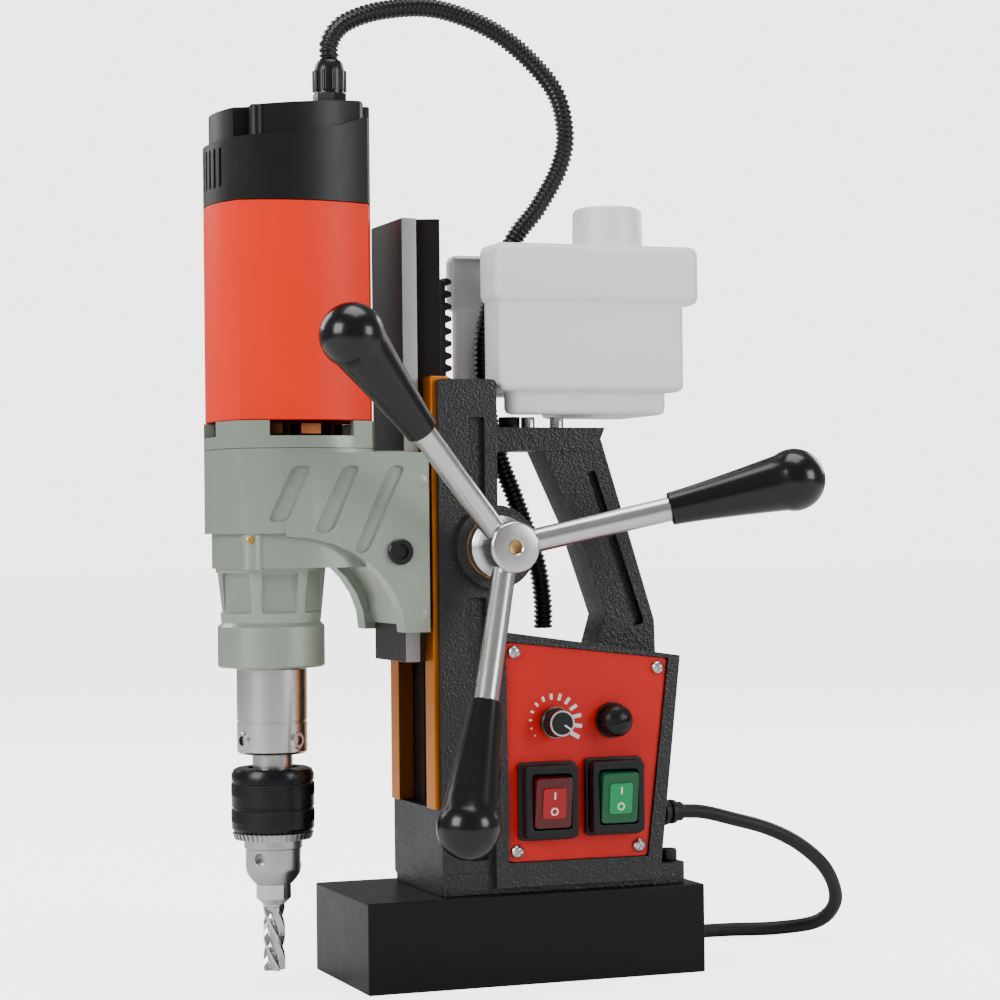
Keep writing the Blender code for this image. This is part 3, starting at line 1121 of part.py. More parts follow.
def build_spindle(carriage):
    """Make the spindle with its gear, the chuck with its sleeve, and the cutter."""
    axis = (0, SPINDLE_Y, 0)
    spindle = add_empty("spindle_axis", (0, SPINDLE_Y, ARBOR_BOTTOM), carriage)
    socket = SHANK_RADIUS + GAP
    shoulder = CASE_FLOOR - 0.0018 - UPPER_BEARING_HEIGHT
    profile = [(0, ARBOR_TOP - 0.008), (socket, ARBOR_TOP - 0.008), (socket, ARBOR_BOTTOM),
               (ARBOR_RADIUS, ARBOR_BOTTOM), (ARBOR_RADIUS, ARBOR_TOP), (SPINDLE_RADIUS, ARBOR_TOP),
               (SPINDLE_RADIUS, shoulder), (SPINDLE_TIP_RADIUS, shoulder),
               (SPINDLE_TIP_RADIUS, SPINDLE_TOP), (0, SPINDLE_TOP)]
    shaft = add_piece("spindle", turned(profile, "Z", axis, 20), "polished_steel", spindle)
    x, y = countershaft_spot()
    towards = math.atan2(y - SPINDLE_Y, x)
    gear = gear_outline(LARGE_TEETH, GEAR_MODULE, (0, SPINDLE_Y), mesh_phase(towards, LARGE_TEETH))
    join(shaft, prism(gear, "Z", SPINDLE_GEAR_BOTTOM, SPINDLE_GEAR_BOTTOM + GEAR_FACE))
    bore = CUTTER_SHANK_RADIUS + GAP
    bore_end = CHUCK_BOTTOM + 0.034
    profile = [(0, ARBOR_TOP - 0.0085), (SHANK_RADIUS, ARBOR_TOP - 0.0085), (SHANK_RADIUS, ARBOR_BOTTOM - GAP),
               (0.0100, ARBOR_BOTTOM - GAP), (0.0100, SLEEVE_TOP - 0.001), (CHUCK_RADIUS, SLEEVE_TOP - 0.002),
               (CHUCK_RADIUS, CHUCK_NOSE_TOP), (0.0090, CHUCK_BOTTOM), (bore, CHUCK_BOTTOM),
               (bore, bore_end), (0, bore_end)]
    add_piece("chuck_body", turned(profile, "Z", axis, 24), "ground_steel", spindle)
    inner = CHUCK_RADIUS + GAP
    profile = [(inner, SLEEVE_BOTTOM), (0.0185, SLEEVE_BOTTOM), (0.0196, SLEEVE_BOTTOM + 0.003),
               (SLEEVE_RADIUS - 0.0006, SLEEVE_BOTTOM + 0.004), (SLEEVE_RADIUS, SLEEVE_BOTTOM + 0.006),
               (SLEEVE_RADIUS, SLEEVE_TOP - 0.003), (SLEEVE_RADIUS - 0.002, SLEEVE_TOP),
               (0.0125, SLEEVE_TOP), (inner, SLEEVE_TOP - 0.0016)]
    sleeve_axis = add_empty("chuck_sleeve_axis", (0, SPINDLE_Y, SLEEVE_BOTTOM), spindle)
    add_piece("chuck_sleeve", turned(profile, "Z", axis, 28, closed=True), "dark_steel", sleeve_axis)
    collar_top = CHUCK_BOTTOM - GAP
    profile = [(0, bore_end - 0.0005), (CUTTER_SHANK_RADIUS, bore_end - 0.0005),
               (CUTTER_SHANK_RADIUS, collar_top), (CUTTER_COLLAR_RADIUS, collar_top),
               (CUTTER_COLLAR_RADIUS, collar_top - 0.007), (CUTTER_RADIUS, collar_top - 0.010),
               (0.003, collar_top - 0.014), (0, collar_top - 0.015)]
    cutter = add_piece("cutter", turned(profile, "Z", axis, 20), "polished_steel", spindle)
    join(cutter, twisted(flute_outline(), axis, CUTTER_TIP, collar_top - 0.0095, math.radians(-200), 14))


def main():
    """Build the whole machine."""
    clear_scene()
    stand = add_empty("stand_frame", (0, 0, 0))
    build_magnet(stand)
    build_casting(stand)
    build_rails(stand)
    build_stand_hardware(stand)
    build_control_panel(stand)
    build_switch(stand, "motor", "red_plastic")
    build_switch(stand, "magnet", "green_plastic")
    build_dials(stand)
    build_cord(stand)
    build_tank(stand)
    add_tube("wiring_conduit", CONDUIT_ROUTE, CONDUIT_RADIUS, "rubber", stand)
    build_capstan(stand)
    carriage = add_empty("carriage_frame", (0, SLIDE_REAR, SLIDE_BOTTOM), stand)
    build_slide(carriage)
    build_gear_case(carriage)
    build_clamp_screws(carriage)
    build_motor(carriage)
    build_gear_train(carriage)
    build_spindle(carriage)


if __name__ == "__main__":
    main()
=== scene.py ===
"""Looks of the magnetic drill press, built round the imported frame.

Each sub-assembly is a class that holds its sizes, builds its meshes and dresses them. Units are
metres. X runs across the machine towards its control side, Y from the drill to the rear, Z up.
"""

import logging
import math
from collections.abc import Callable, Iterable, Sequence
from dataclasses import dataclass, field
from enum import Enum

import bmesh
import bpy
from mathutils import Matrix, Vector


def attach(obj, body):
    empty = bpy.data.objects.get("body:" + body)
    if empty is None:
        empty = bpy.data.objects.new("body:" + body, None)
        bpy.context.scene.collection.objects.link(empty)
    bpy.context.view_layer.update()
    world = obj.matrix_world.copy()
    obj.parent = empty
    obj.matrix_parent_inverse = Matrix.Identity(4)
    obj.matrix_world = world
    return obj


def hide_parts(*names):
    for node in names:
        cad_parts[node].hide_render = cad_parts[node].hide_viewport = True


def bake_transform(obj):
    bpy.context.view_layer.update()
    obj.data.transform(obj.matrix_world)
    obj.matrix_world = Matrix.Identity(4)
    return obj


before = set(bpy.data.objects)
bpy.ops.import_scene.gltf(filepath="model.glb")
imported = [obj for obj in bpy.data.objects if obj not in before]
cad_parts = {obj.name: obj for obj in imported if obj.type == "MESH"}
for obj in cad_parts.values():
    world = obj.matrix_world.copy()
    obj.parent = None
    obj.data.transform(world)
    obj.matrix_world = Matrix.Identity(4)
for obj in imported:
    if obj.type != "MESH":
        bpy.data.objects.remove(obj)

log = logging.getLogger("drill_press")
Pair = tuple[float, float]
Point = tuple[float, float, float]
Colour = tuple[float, float, float]


class Axis(Enum):
    """A direction of the machine's frame."""

    X = 0
    Y = 1
    Z = 2

    @property
    def unit(self) -> Vector:
        """Return the unit vector along the axis."""
        return Vector([1.0 if index == self.value else 0.0 for index in range(3)])

    def place(self, across: Pair, along: float) -> Vector:
        """Return the point with these two crossing coordinates at this height on the axis.

        Args:
            across: the two other coordinates, in X, Y, Z order.
            along: the coordinate along this axis.

        Returns:
            The point in the machine's frame.
        """
        values = list(across)
        values.insert(self.value, along)
        return Vector(values)


class Body(Enum):
    """A rigid body of the frame that a piece rides on."""

    STAND = "stand"
    CARRIAGE = "carriage"
    CAPSTAN = "capstan"
    SPINDLE = "spindle"
    CHUCK_SLEEVE = "chuck_sleeve"
    COUNTERSHAFT = "countershaft"
    ARMATURE = "armature"
    MOTOR_ROCKER = "motor_rocker"
    MAGNET_ROCKER = "magnet_rocker"
    SPEED_DIAL = "speed_dial"
    FUSE_TOP = "fuse_top"
    FILLER_CAP = "filler_cap"


# --- Finishes -------------------------------------------------------------------------------
class Grain(Enum):
    """The fine relief that a finish has."""

    MOULDED = "moulded"
    PEEL = "peel"
    BRUSHED = "brushed"


class NodeGroups:
    """The shader node groups that several finishes share."""

    def __init__(self) -> None:
        """Start with no groups built."""
        self._built: dict[str, bpy.types.NodeTree] = {}

    def mottle(self) -> bpy.types.NodeTree:
        """Return the group that lets a colour and a roughness wander over the surface.

        Returns:
            A node tree with Color and Roughness outputs.
        """
        if "mottle" in self._built:
            return self._built["mottle"]
        tree = bpy.data.node_groups.new("surface mottle", "ShaderNodeTree")
        self._inputs(tree, {"Place": "NodeSocketVector", "Colour": "NodeSocketColor",
                            "Second Colour": "NodeSocketColor", "Amount": "NodeSocketFloat",
                            "Scale": "NodeSocketFloat", "Roughness": "NodeSocketFloat",
                            "Roughness Spread": "NodeSocketFloat"})
        self._outputs(tree, {"Color": "NodeSocketColor", "Roughness": "NodeSocketFloat"})
        start, end = tree.nodes.new("NodeGroupInput"), tree.nodes.new("NodeGroupOutput")
        cloud = tree.nodes.new("ShaderNodeTexNoise")
        cloud.inputs["Detail"].default_value = 5.0
        cloud.inputs["Roughness"].default_value = 0.6
        smear = tree.nodes.new("ShaderNodeTexNoise")
        smear.inputs["Detail"].default_value = 3.0
        smear.inputs["Distortion"].default_value = 1.5
        share = tree.nodes.new("ShaderNodeMath")
        share.operation = "MULTIPLY"
        blend = tree.nodes.new("ShaderNodeMix")
        blend.data_type = "RGBA"
        centred = tree.nodes.new("ShaderNodeMath")
        centred.operation = "SUBTRACT"
        centred.inputs[1].default_value = 0.5
        spread = tree.nodes.new("ShaderNodeMath")
        spread.operation = "MULTIPLY_ADD"
        spread.use_clamp = True
        link = tree.links.new
        for texture in (cloud, smear):
            link(start.outputs["Place"], texture.inputs["Vector"])
            link(start.outputs["Scale"], texture.inputs["Scale"])
        link(cloud.outputs["Fac"], share.inputs[0])
        link(start.outputs["Amount"], share.inputs[1])
        link(share.outputs[0], blend.inputs["Factor"])
        link(start.outputs["Colour"], blend.inputs["A"])
        link(start.outputs["Second Colour"], blend.inputs["B"])
        link(smear.outputs["Fac"], centred.inputs[0])
        link(centred.outputs[0], spread.inputs[0])
        link(start.outputs["Roughness Spread"], spread.inputs[1])
        link(start.outputs["Roughness"], spread.inputs[2])
        link(blend.outputs["Result"], end.inputs["Color"])
        link(spread.outputs[0], end.inputs["Roughness"])
        self._built["mottle"] = tree
        return tree

    def relief(self, grain: Grain) -> bpy.types.NodeTree:
        """Return the group that gives the height of one kind of fine relief.

        Args:
            grain: which relief the group draws.

        Returns:
            A node tree with Place and Scale inputs and a Height output.
        """
        if grain.value in self._built:
            return self._built[grain.value]
        tree = bpy.data.node_groups.new(f"{grain.value} relief", "ShaderNodeTree")
        self._inputs(tree, {"Place": "NodeSocketVector", "Scale": "NodeSocketFloat"})
        self._outputs(tree, {"Height": "NodeSocketFloat"})
        start, end = tree.nodes.new("NodeGroupInput"), tree.nodes.new("NodeGroupOutput")
        if grain is Grain.PEEL:
            texture = tree.nodes.new("ShaderNodeTexVoronoi")
            texture.feature = "SMOOTH_F1"
            texture.inputs["Smoothness"].default_value = 1.0
            height = texture.outputs["Distance"]
        else:
            texture = tree.nodes.new("ShaderNodeTexNoise")
            texture.inputs["Detail"].default_value = 2.0 if grain is Grain.BRUSHED else 4.0
            height = texture.outputs["Fac"]
        tree.links.new(start.outputs["Place"], texture.inputs["Vector"])
        tree.links.new(start.outputs["Scale"], texture.inputs["Scale"])
        tree.links.new(height, end.inputs["Height"])
        self._built[grain.value] = tree
        return tree

    @staticmethod
    def _inputs(tree: bpy.types.NodeTree, sockets: dict[str, str]) -> None:
        """Give the group these named inputs."""
        for name, kind in sockets.items():
            tree.interface.new_socket(name, in_out="INPUT", socket_type=kind)

    @staticmethod
    def _outputs(tree: bpy.types.NodeTree, sockets: dict[str, str]) -> None:
        """Give the group these named outputs."""
        for name, kind in sockets.items():
            tree.interface.new_socket(name, in_out="OUTPUT", socket_type=kind)


GROUPS = NodeGroups()


@dataclass(frozen=True)
class Finish:
    """One finish: its colour, gloss and fine relief."""

    name: str
    colour: Colour
    roughness: float
    metallic: float = 0.0
    coat: float = 0.0
    second: Colour | None = None
    mottling: float = 0.5
    mottling_size: float = 0.015
    spread: float = 0.10
    grain: Grain = Grain.MOULDED
    grain_size: float = 0.0005
    grain_height: float = 0.00002
    stretch: Point = (1.0, 1.0, 1.0)
    anisotropic: float = 0.0
    specular: float = 0.5

    def material(self) -> bpy.types.Material:
        """Return this finish's material, building it the first time.

        Returns:
            A material with one Principled shader, fed by the shared groups.
        """
        found = bpy.data.materials.get(self.name)
        if found is not None:
            return found
        made = bpy.data.materials.new(self.name)
        made.use_nodes = True
        tree = made.node_tree
        link = tree.links.new
        shader = tree.nodes["Principled BSDF"]
        shader.inputs["Metallic"].default_value = self.metallic
        shader.inputs["Coat Weight"].default_value = self.coat
        shader.inputs["Coat Roughness"].default_value = 0.12
        shader.inputs["Anisotropic"].default_value = self.anisotropic
        shader.inputs["Specular IOR Level"].default_value = self.specular
        place = tree.nodes.new("ShaderNodeTexCoord")
        mottle = tree.nodes.new("ShaderNodeGroup")
        mottle.node_tree = GROUPS.mottle()
        second = self.second or tuple(0.72 * part for part in self.colour)
        mottle.inputs["Colour"].default_value = (*self.colour, 1.0)
        mottle.inputs["Second Colour"].default_value = (*second, 1.0)
        mottle.inputs["Amount"].default_value = self.mottling
        mottle.inputs["Scale"].default_value = 1.0 / self.mottling_size
        mottle.inputs["Roughness"].default_value = self.roughness
        mottle.inputs["Roughness Spread"].default_value = self.spread
        link(place.outputs["Object"], mottle.inputs["Place"])
        link(mottle.outputs["Color"], shader.inputs["Base Color"])
        link(mottle.outputs["Roughness"], shader.inputs["Roughness"])
        stretched = tree.nodes.new("ShaderNodeMapping")
        stretched.inputs["Scale"].default_value = self.stretch
        relief = tree.nodes.new("ShaderNodeGroup")
        relief.node_tree = GROUPS.relief(self.grain)
        relief.inputs["Scale"].default_value = 1.0 / self.grain_size
        bump = tree.nodes.new("ShaderNodeBump")
        bump.inputs["Strength"].default_value = 1.0
        bump.inputs["Distance"].default_value = self.grain_height
        link(place.outputs["Object"], stretched.inputs["Vector"])
        link(stretched.outputs["Vector"], relief.inputs["Place"])
        link(relief.outputs["Height"], bump.inputs["Height"])
        link(bump.outputs["Normal"], shader.inputs["Normal"])
        return made


ROUND_Z = (0.06, 0.06, 1.0)
ALONG_Z = (1.0, 1.0, 0.04)
ROUND_X = (1.0, 0.06, 0.06)

MAGNET_PAINT = Finish("black magnet enamel", (0.0040, 0.0040, 0.0042), 0.34, spread=0.12,
                      grain=Grain.PEEL, grain_size=0.0016, grain_height=0.00003, specular=0.22)
CAST_PAINT = Finish("black wrinkle enamel", (0.014, 0.0145, 0.016), 0.40, spread=0.15,
                    second=(0.007, 0.007, 0.008), grain=Grain.PEEL, grain_size=0.0011,
                    grain_height=0.00036, specular=0.45)
ORANGE = Finish("moulded orange shell", (1.0, 0.024, 0.0015), 0.42, second=(0.92, 0.019, 0.001),
                mottling=0.4, mottling_size=0.05, grain_size=0.0004, grain_height=0.000012,
                specular=0.22)
CAP_BLACK = Finish("moulded black shell", (0.0075, 0.0075, 0.008), 0.40, grain_size=0.0004,
                   grain_height=0.00003, specular=0.32)
GRIP_BLACK = Finish("black phenolic grip", (0.0035, 0.0035, 0.004), 0.24, coat=0.15, spread=0.08,
                    grain_size=0.0010, grain_height=0.000012, specular=0.4)
SWITCH_BLACK = Finish("black nylon", (0.006, 0.006, 0.0065), 0.36, grain_size=0.0003,
                      grain_height=0.00002, specular=0.35)
GREY_ENAMEL = Finish("silver grey enamel", (0.345, 0.400, 0.330), 0.34, metallic=0.35, coat=0.25,
                     second=(0.275, 0.325, 0.265), mottling=0.45, mottling_size=0.03,
                     grain=Grain.PEEL, grain_size=0.0014, grain_height=0.00006)
PANEL_RED = Finish("red panel enamel", (0.66, 0.006, 0.003), 0.34, second=(0.57, 0.005, 0.003),
                   mottling_size=0.05, grain_size=0.0007, grain_height=0.00001, specular=0.35)
PRINT_WHITE = Finish("white print", (0.86, 0.86, 0.86), 0.5, mottling=0.1)
ROCKER_RED = Finish("clear red cover", (0.100, 0.0008, 0.003), 0.14, spread=0.05, specular=0.5,
                    second=(0.055, 0.0004, 0.002), mottling_size=0.01)
PAD_RED = Finish("red rocker pad", (0.42, 0.003, 0.008), 0.18, spread=0.05, specular=0.45)
ROCKER_GREEN = Finish("clear green cover", (0.0008, 0.105, 0.032), 0.14, spread=0.05, specular=0.5,
                      second=(0.0005, 0.060, 0.020), mottling_size=0.01)
PAD_GREEN = Finish("green rocker pad", (0.002, 0.33, 0.095), 0.18, spread=0.05, specular=0.45)
TANK_WHITE = Finish("milky bottle plastic", (0.95, 0.955, 0.955), 0.34, second=(0.90, 0.91, 0.915),
                    mottling=0.35, mottling_size=0.06, grain_size=0.004, grain_height=0.00008)
BRIGHT_STEEL = Finish("turned bright steel", (0.74, 0.73, 0.71), 0.24, metallic=1.0, spread=0.10,
                      second=(0.62, 0.61, 0.60), grain=Grain.BRUSHED, grain_size=0.00035,
                      grain_height=0.000012, stretch=ROUND_Z)
HUB_STEEL = Finish("turned hub steel", (0.74, 0.73, 0.72), 0.26, metallic=1.0, spread=0.10,
                   grain=Grain.BRUSHED, grain_size=0.0004, grain_height=0.000012, stretch=ROUND_X)
GROUND_STEEL = Finish("ground steel", (0.56, 0.56, 0.55), 0.30, metallic=1.0,
                      grain=Grain.BRUSHED, grain_size=0.0004, grain_height=0.00002, stretch=ROUND_Z)
CHUCK_BLACK = Finish("black oxide", (0.034, 0.035, 0.038), 0.28, metallic=0.9,
                     second=(0.020, 0.020, 0.022), mottling_size=0.006, grain_size=0.0004,
                     grain_height=0.00002)
SCREW_BLACK = Finish("blackened screw", (0.030, 0.030, 0.032), 0.35, metallic=0.8,
                     grain_size=0.0004, grain_height=0.00002)
ZINC = Finish("zinc plate", (0.70, 0.70, 0.69), 0.28, metallic=1.0, grain_size=0.0005,
              grain_height=0.00002)
GOLD = Finish("gold anodising", (0.72, 0.22, 0.012), 0.34, metallic=0.85, second=(0.58, 0.15, 0.008),
              grain=Grain.BRUSHED, grain_size=0.0005, grain_height=0.00002, stretch=ALONG_Z)
SLIDE_BLACK = Finish("black slide face", (0.010, 0.006, 0.007), 0.36, specular=0.3,
                     grain=Grain.BRUSHED, grain_size=0.0006, grain_height=0.00001, stretch=ALONG_Z)
SLIDE_EDGE = Finish("milled grey edge", (0.42, 0.42, 0.41), 0.34, metallic=0.8,
                    grain=Grain.BRUSHED, grain_size=0.0005, grain_height=0.00003, stretch=ALONG_Z)
BRONZE = Finish("turned bronze", (0.62, 0.38, 0.16), 0.32, metallic=1.0, grain=Grain.BRUSHED,
                grain_size=0.0004, grain_height=0.00002, stretch=ROUND_X)
BRASS = Finish("brass", (0.72, 0.46, 0.14), 0.30, metallic=1.0)
# Wound copper, partly real copper colour and partly painted shade: its colour is darkened well below bright copper
# to stand for the shade inside the motor.
COPPER_DARKENED_AS_SHADE = Finish("wound copper", (0.30, 0.10, 0.04), 0.45, metallic=1.0, grain=Grain.BRUSHED,
                grain_size=0.0008, grain_height=0.0002, stretch=ALONG_Z)
LAMINATION = Finish("core laminations", (0.10, 0.10, 0.11), 0.45, metallic=0.8, grain=Grain.BRUSHED,
                    grain_size=0.0007, grain_height=0.0001, stretch=ROUND_Z)
POTTING = Finish("potting resin", (0.045, 0.028, 0.018), 0.35, grain_size=0.002, grain_height=0.0001)
BOARD = Finish("board laminate", (0.012, 0.16, 0.06), 0.40, mottling_size=0.004)
RUBBER = Finish("black rubber", (0.008, 0.008, 0.0085), 0.50, specular=0.35, grain_size=0.0006, grain_height=0.00004)
HOSE_BLACK = Finish("black hose plastic", (0.006, 0.006, 0.0065), 0.30, specular=0.45, grain_size=0.0006,
                    grain_height=0.00002)


# --- Shaping --------------------------------------------------------------------------------
class Solid:
    """A closed mesh in the making, shaped with mesh operators."""

    def __init__(self) -> None:
        """Start an empty mesh."""
        self.work = bmesh.new()

    @classmethod
    def slab(cls, corners: Sequence[Pair], axis: Axis, low: float, high: float,
             corner: float = 0.0, rim: float = 0.0, steps: int = 4) -> "Solid":
        """Extrude an outline along an axis, round its upright edges, then its rims.

        Args:
            corners: the outline, in the two crossing coordinates.
            axis: the direction of the extrusion.
            low: where the slab starts.
            high: where the slab ends.
            corner: the radius of the upright edges.
            rim: the radius of the two rims.
            steps: the number of faces round a corner.

        Returns:
            The slab.
        """
        made = cls()
        work = made.work
        sheet = work.faces.new([work.verts.new(axis.place(point, low)) for point in corners])
        grown = bmesh.ops.extrude_face_region(work, geom=[sheet])["geom"]
        far = [item for item in grown if isinstance(item, bmesh.types.BMVert)]
        bmesh.ops.translate(work, verts=far, vec=axis.unit * (high - low))
        bmesh.ops.recalc_face_normals(work, faces=work.faces)
        if corner > 0:
            upright = [edge for edge in work.edges if made._runs_along(edge, axis)]
            made._bevel(upright, corner, steps)
        if rim > 0:
            made._bevel(made._sharp_rim(axis), rim, 2)
        return made

    @classmethod
    def block(cls, low: Point, high: Point, rim: float = 0.0) -> "Solid":
        """Return a box between two corners, with its edges rounded.

        Args:
            low: the lowest corner.
            high: the highest corner.
            rim: the radius of the edges.

        Returns:
            The box.
        """
        made = cls()
        centre = (Vector(low) + Vector(high)) / 2
        size = Vector(high) - Vector(low)
        place = Matrix.Translation(centre) @ Matrix.Diagonal((*size, 1.0))
        bmesh.ops.create_cube(made.work, size=1.0, matrix=place)
        if rim > 0:
            made._bevel(list(made.work.edges), rim, 2)
        return made

    @classmethod
    def turned(cls, profile: Sequence[Pair], axis: Axis = Axis.Z, centre: Point = (0.0, 0.0, 0.0),
               steps: int = 64, closed: bool = False) -> "Solid":
        """Spin a profile of radius and height about an axis.

        Args:
            profile: pairs of radius and height; the height counts from the centre.
            axis: the axis of the spin.
            centre: a point on the axis.
            steps: the number of faces round the axis.
            closed: whether the last point joins the first, as in a ring.

        Returns:
            The turned solid.
        """
        made = cls()
        work = made.work
        start = Vector(centre)
        out = [unit for unit in Axis if unit is not axis][0].unit
        verts = [work.verts.new(start + out * radius + axis.unit * height) for radius, height in profile]
        pairs = list(zip(verts, verts[1:]))
        if closed:
            pairs.append((verts[-1], verts[0]))
        edges = [work.edges.new(pair) for pair in pairs]
        bmesh.ops.spin(work, geom=verts + edges, cent=start, axis=axis.unit, angle=math.tau,
                       steps=steps, use_merge=True, dvec=(0, 0, 0))
        bmesh.ops.remove_doubles(work, verts=work.verts, dist=1e-6)
        bmesh.ops.recalc_face_normals(work, faces=work.faces)
        return made

    @classmethod
    def rod(cls, radius: float, axis: Axis, centre: Point, low: float, high: float,
            steps: int = 32, rim: float = 0.0) -> "Solid":
        """Return a round bar between two heights on an axis.

        Args:
            radius: the bar's radius.
            axis: the bar's direction.
            centre: a point on its axis; its height along the axis is not used.
            low: where it starts.
            high: where it ends.
            steps: the number of faces round it.
            rim: the size of the chamfer at each end.

        Returns:
            The bar.
        """
        base = Vector(centre)
        base[axis.value] = 0.0
        profile = [(0.0, low), (radius - rim, low), (radius, low + rim), (radius, high - rim),
                   (radius - rim, high), (0.0, high)]
        if rim == 0:
            profile = [(0.0, low), (radius, low), (radius, high), (0.0, high)]
        return cls.turned(profile, axis, base, steps)

    @classmethod
    def of_node(cls, node: str) -> "Solid":
        """Return a merged copy of a frame node, with its flat triangles joined into faces."""
        made = cls()
        made.work.from_mesh(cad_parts[node].data)
        bmesh.ops.remove_doubles(made.work, verts=made.work.verts, dist=2e-6)
        bmesh.ops.dissolve_limit(made.work, angle_limit=math.radians(0.6), verts=made.work.verts,
                                 edges=made.work.edges, delimit=set())
        return made

    def soften(self, width: float, angle: float = 28.0, segments: int = 2,
               where: Callable[[Vector], bool] | None = None) -> "Solid":
        """Round the edges that are sharper than an angle.

        Args:
            width: the width of the rounding.
            angle: the least fold, in degrees, that is rounded.
            segments: the number of faces across the rounding.
            where: a test on an edge's middle that picks which edges are rounded.

        Returns:
            This solid.
        """
        least = math.radians(angle)
        edges = [edge for edge in self.work.edges
                 if len(edge.link_faces) == 2 and edge.calc_face_angle(0.0) > least]
        if where is not None:
            edges = [edge for edge in edges if where((edge.verts[0].co + edge.verts[1].co) / 2)]
        self._bevel(edges, width, segments)
        return self

    def turn(self, degrees: float, axis: Axis, centre: Point) -> "Solid":
        """Turn the solid about an axis through a point."""
        spun = Matrix.Rotation(math.radians(degrees), 3, axis.name)
        bmesh.ops.rotate(self.work, cent=centre, matrix=spun, verts=self.work.verts)
        return self

    def shift(self, step: Point) -> "Solid":
        """Move the solid by a step."""
        bmesh.ops.translate(self.work, vec=step, verts=self.work.verts)
        return self

    def cut(self, *tools: "Solid") -> "Solid":
        """Take the tools' space away from this solid."""
        return self._combine(tools, "DIFFERENCE")

    def join(self, *others: "Solid") -> "Solid":
        """Join the others to this solid as one closed skin."""
        return self._combine(others, "UNION")

    def add(self, *others: "Solid") -> "Solid":
        """Put the others beside this solid in one mesh, without cutting."""
        for other in others:
            spare = bpy.data.meshes.new("spare")
            other.work.to_mesh(spare)
            self.work.from_mesh(spare)
            bpy.data.meshes.remove(spare)
        return self

    def paint(self, index: int, where: Callable[[bmesh.types.BMFace], bool]) -> "Solid":
        """Give the faces that pass a test the finish with this index."""
        for face in self.work.faces:
            if where(face):
                face.material_index = index
        return self

    def piece(self, name: str, finishes: Finish | Sequence[Finish], body: Body,
              replaces: Sequence[str] = (), sharp: float = 38.0) -> bpy.types.Object:
        """Make the finished object, ride it on its body and let it stand for its nodes.

        Args:
            name: the object's name.
            finishes: one finish, or one for each material index.
            body: the body that it rides on.
            replaces: the frame nodes that it stands for.
            sharp: the least fold, in degrees, that stays a crisp edge.

        Returns:
            The object.
        """
        mesh = bpy.data.meshes.new(name)
        self.work.to_mesh(mesh)
        self.work.free()
        for finish in (finishes if isinstance(finishes, Sequence) else [finishes]):
            mesh.materials.append(finish.material())
        mesh.polygons.foreach_set("use_smooth", [True] * len(mesh.polygons))
        mesh.set_sharp_from_angle(angle=math.radians(sharp))
        made = bpy.data.objects.new(name, mesh)
        bpy.context.scene.collection.objects.link(made)
        even = made.modifiers.new("even shading", "WEIGHTED_NORMAL")
        even.keep_sharp = True
        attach(made, body.value)
        if replaces:
            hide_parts(*replaces)
        log.info("built %s: %d faces", name, len(mesh.polygons))
        return made

    def _combine(self, tools: Iterable["Solid"], operation: str) -> "Solid":
        """Run one Boolean for each tool and take the result as this solid's mesh."""
        base = self._stand_in()
        spares = []
        for tool in tools:
            spare = tool._stand_in()
            step = base.modifiers.new(operation.lower(), "BOOLEAN")
            step.operation = operation
            step.solver = "EXACT"
            step.object = spare
            spares.append(spare)
        bpy.context.view_layer.update()
        result = base.evaluated_get(bpy.context.evaluated_depsgraph_get())
        mesh = bpy.data.meshes.new_from_object(result)
        self.work.clear()
        self.work.from_mesh(mesh)
        bmesh.ops.remove_doubles(self.work, verts=self.work.verts, dist=2e-6)
        for spare in [base, *spares]:
            data = spare.data
            bpy.data.objects.remove(spare)
            bpy.data.meshes.remove(data)
        bpy.data.meshes.remove(mesh)
        return self

    def _stand_in(self) -> bpy.types.Object:
        """Return a passing object with this solid's mesh."""
        mesh = bpy.data.meshes.new("stand in")
        self.work.to_mesh(mesh)
        made = bpy.data.objects.new("stand in", mesh)
        bpy.context.scene.collection.objects.link(made)
        return made

    def _bevel(self, edges: list[bmesh.types.BMEdge], width: float, segments: int) -> None:
        """Round these edges."""
        bmesh.ops.bevel(self.work, geom=edges, offset=width, offset_type="OFFSET", segments=segments,
                        profile=0.5, affect="EDGES", clamp_overlap=True, loop_slide=True, material=-1)

    @staticmethod
    def _runs_along(edge: bmesh.types.BMEdge, axis: Axis) -> bool:
        """Tell whether an edge is parallel to an axis."""
        step = edge.verts[1].co - edge.verts[0].co
        return step.length > 0 and abs(step.normalized()[axis.value]) > 0.999

    def _sharp_rim(self, axis: Axis) -> list[bmesh.types.BMEdge]:
        """Return the folded edges that lie across an axis."""
        return [edge for edge in self.work.edges if not self._runs_along(edge, axis)
                and edge.calc_face_angle(0.0) > math.radians(50)]


def keep_nodes(finish: Finish, *nodes: str) -> None:
    """Give frame nodes whose shape is right a better material."""
    for node in nodes:
        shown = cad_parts[node]
        material = finish.material()
        shown.data.materials.clear()
        shown.data.materials.append(material)


def smooth_path(points: Sequence[Point], spacing: float) -> list[Vector]:
    """Return evenly spaced points on a smooth curve through the given ones.

    Args:
        points: the points that the curve passes.
        spacing: the distance between two points of the result.

    Returns:
        The points, the first and last given ones included.
    """
    marks = [Vector(point) for point in points]
    padded = [2 * marks[0] - marks[1], *marks, 2 * marks[-1] - marks[-2]]
    dense = [marks[0]]
    for before, start, end, after in zip(padded, padded[1:], padded[2:], padded[3:]):
        for count in range(1, 25):
            t = count / 24
            dense.append(0.5 * (2 * start + (end - before) * t
                                + (2 * before - 5 * start + 4 * end - after) * t * t
                                + (3 * start - before - 3 * end + after) * t ** 3))
    return even_path(dense, spacing)


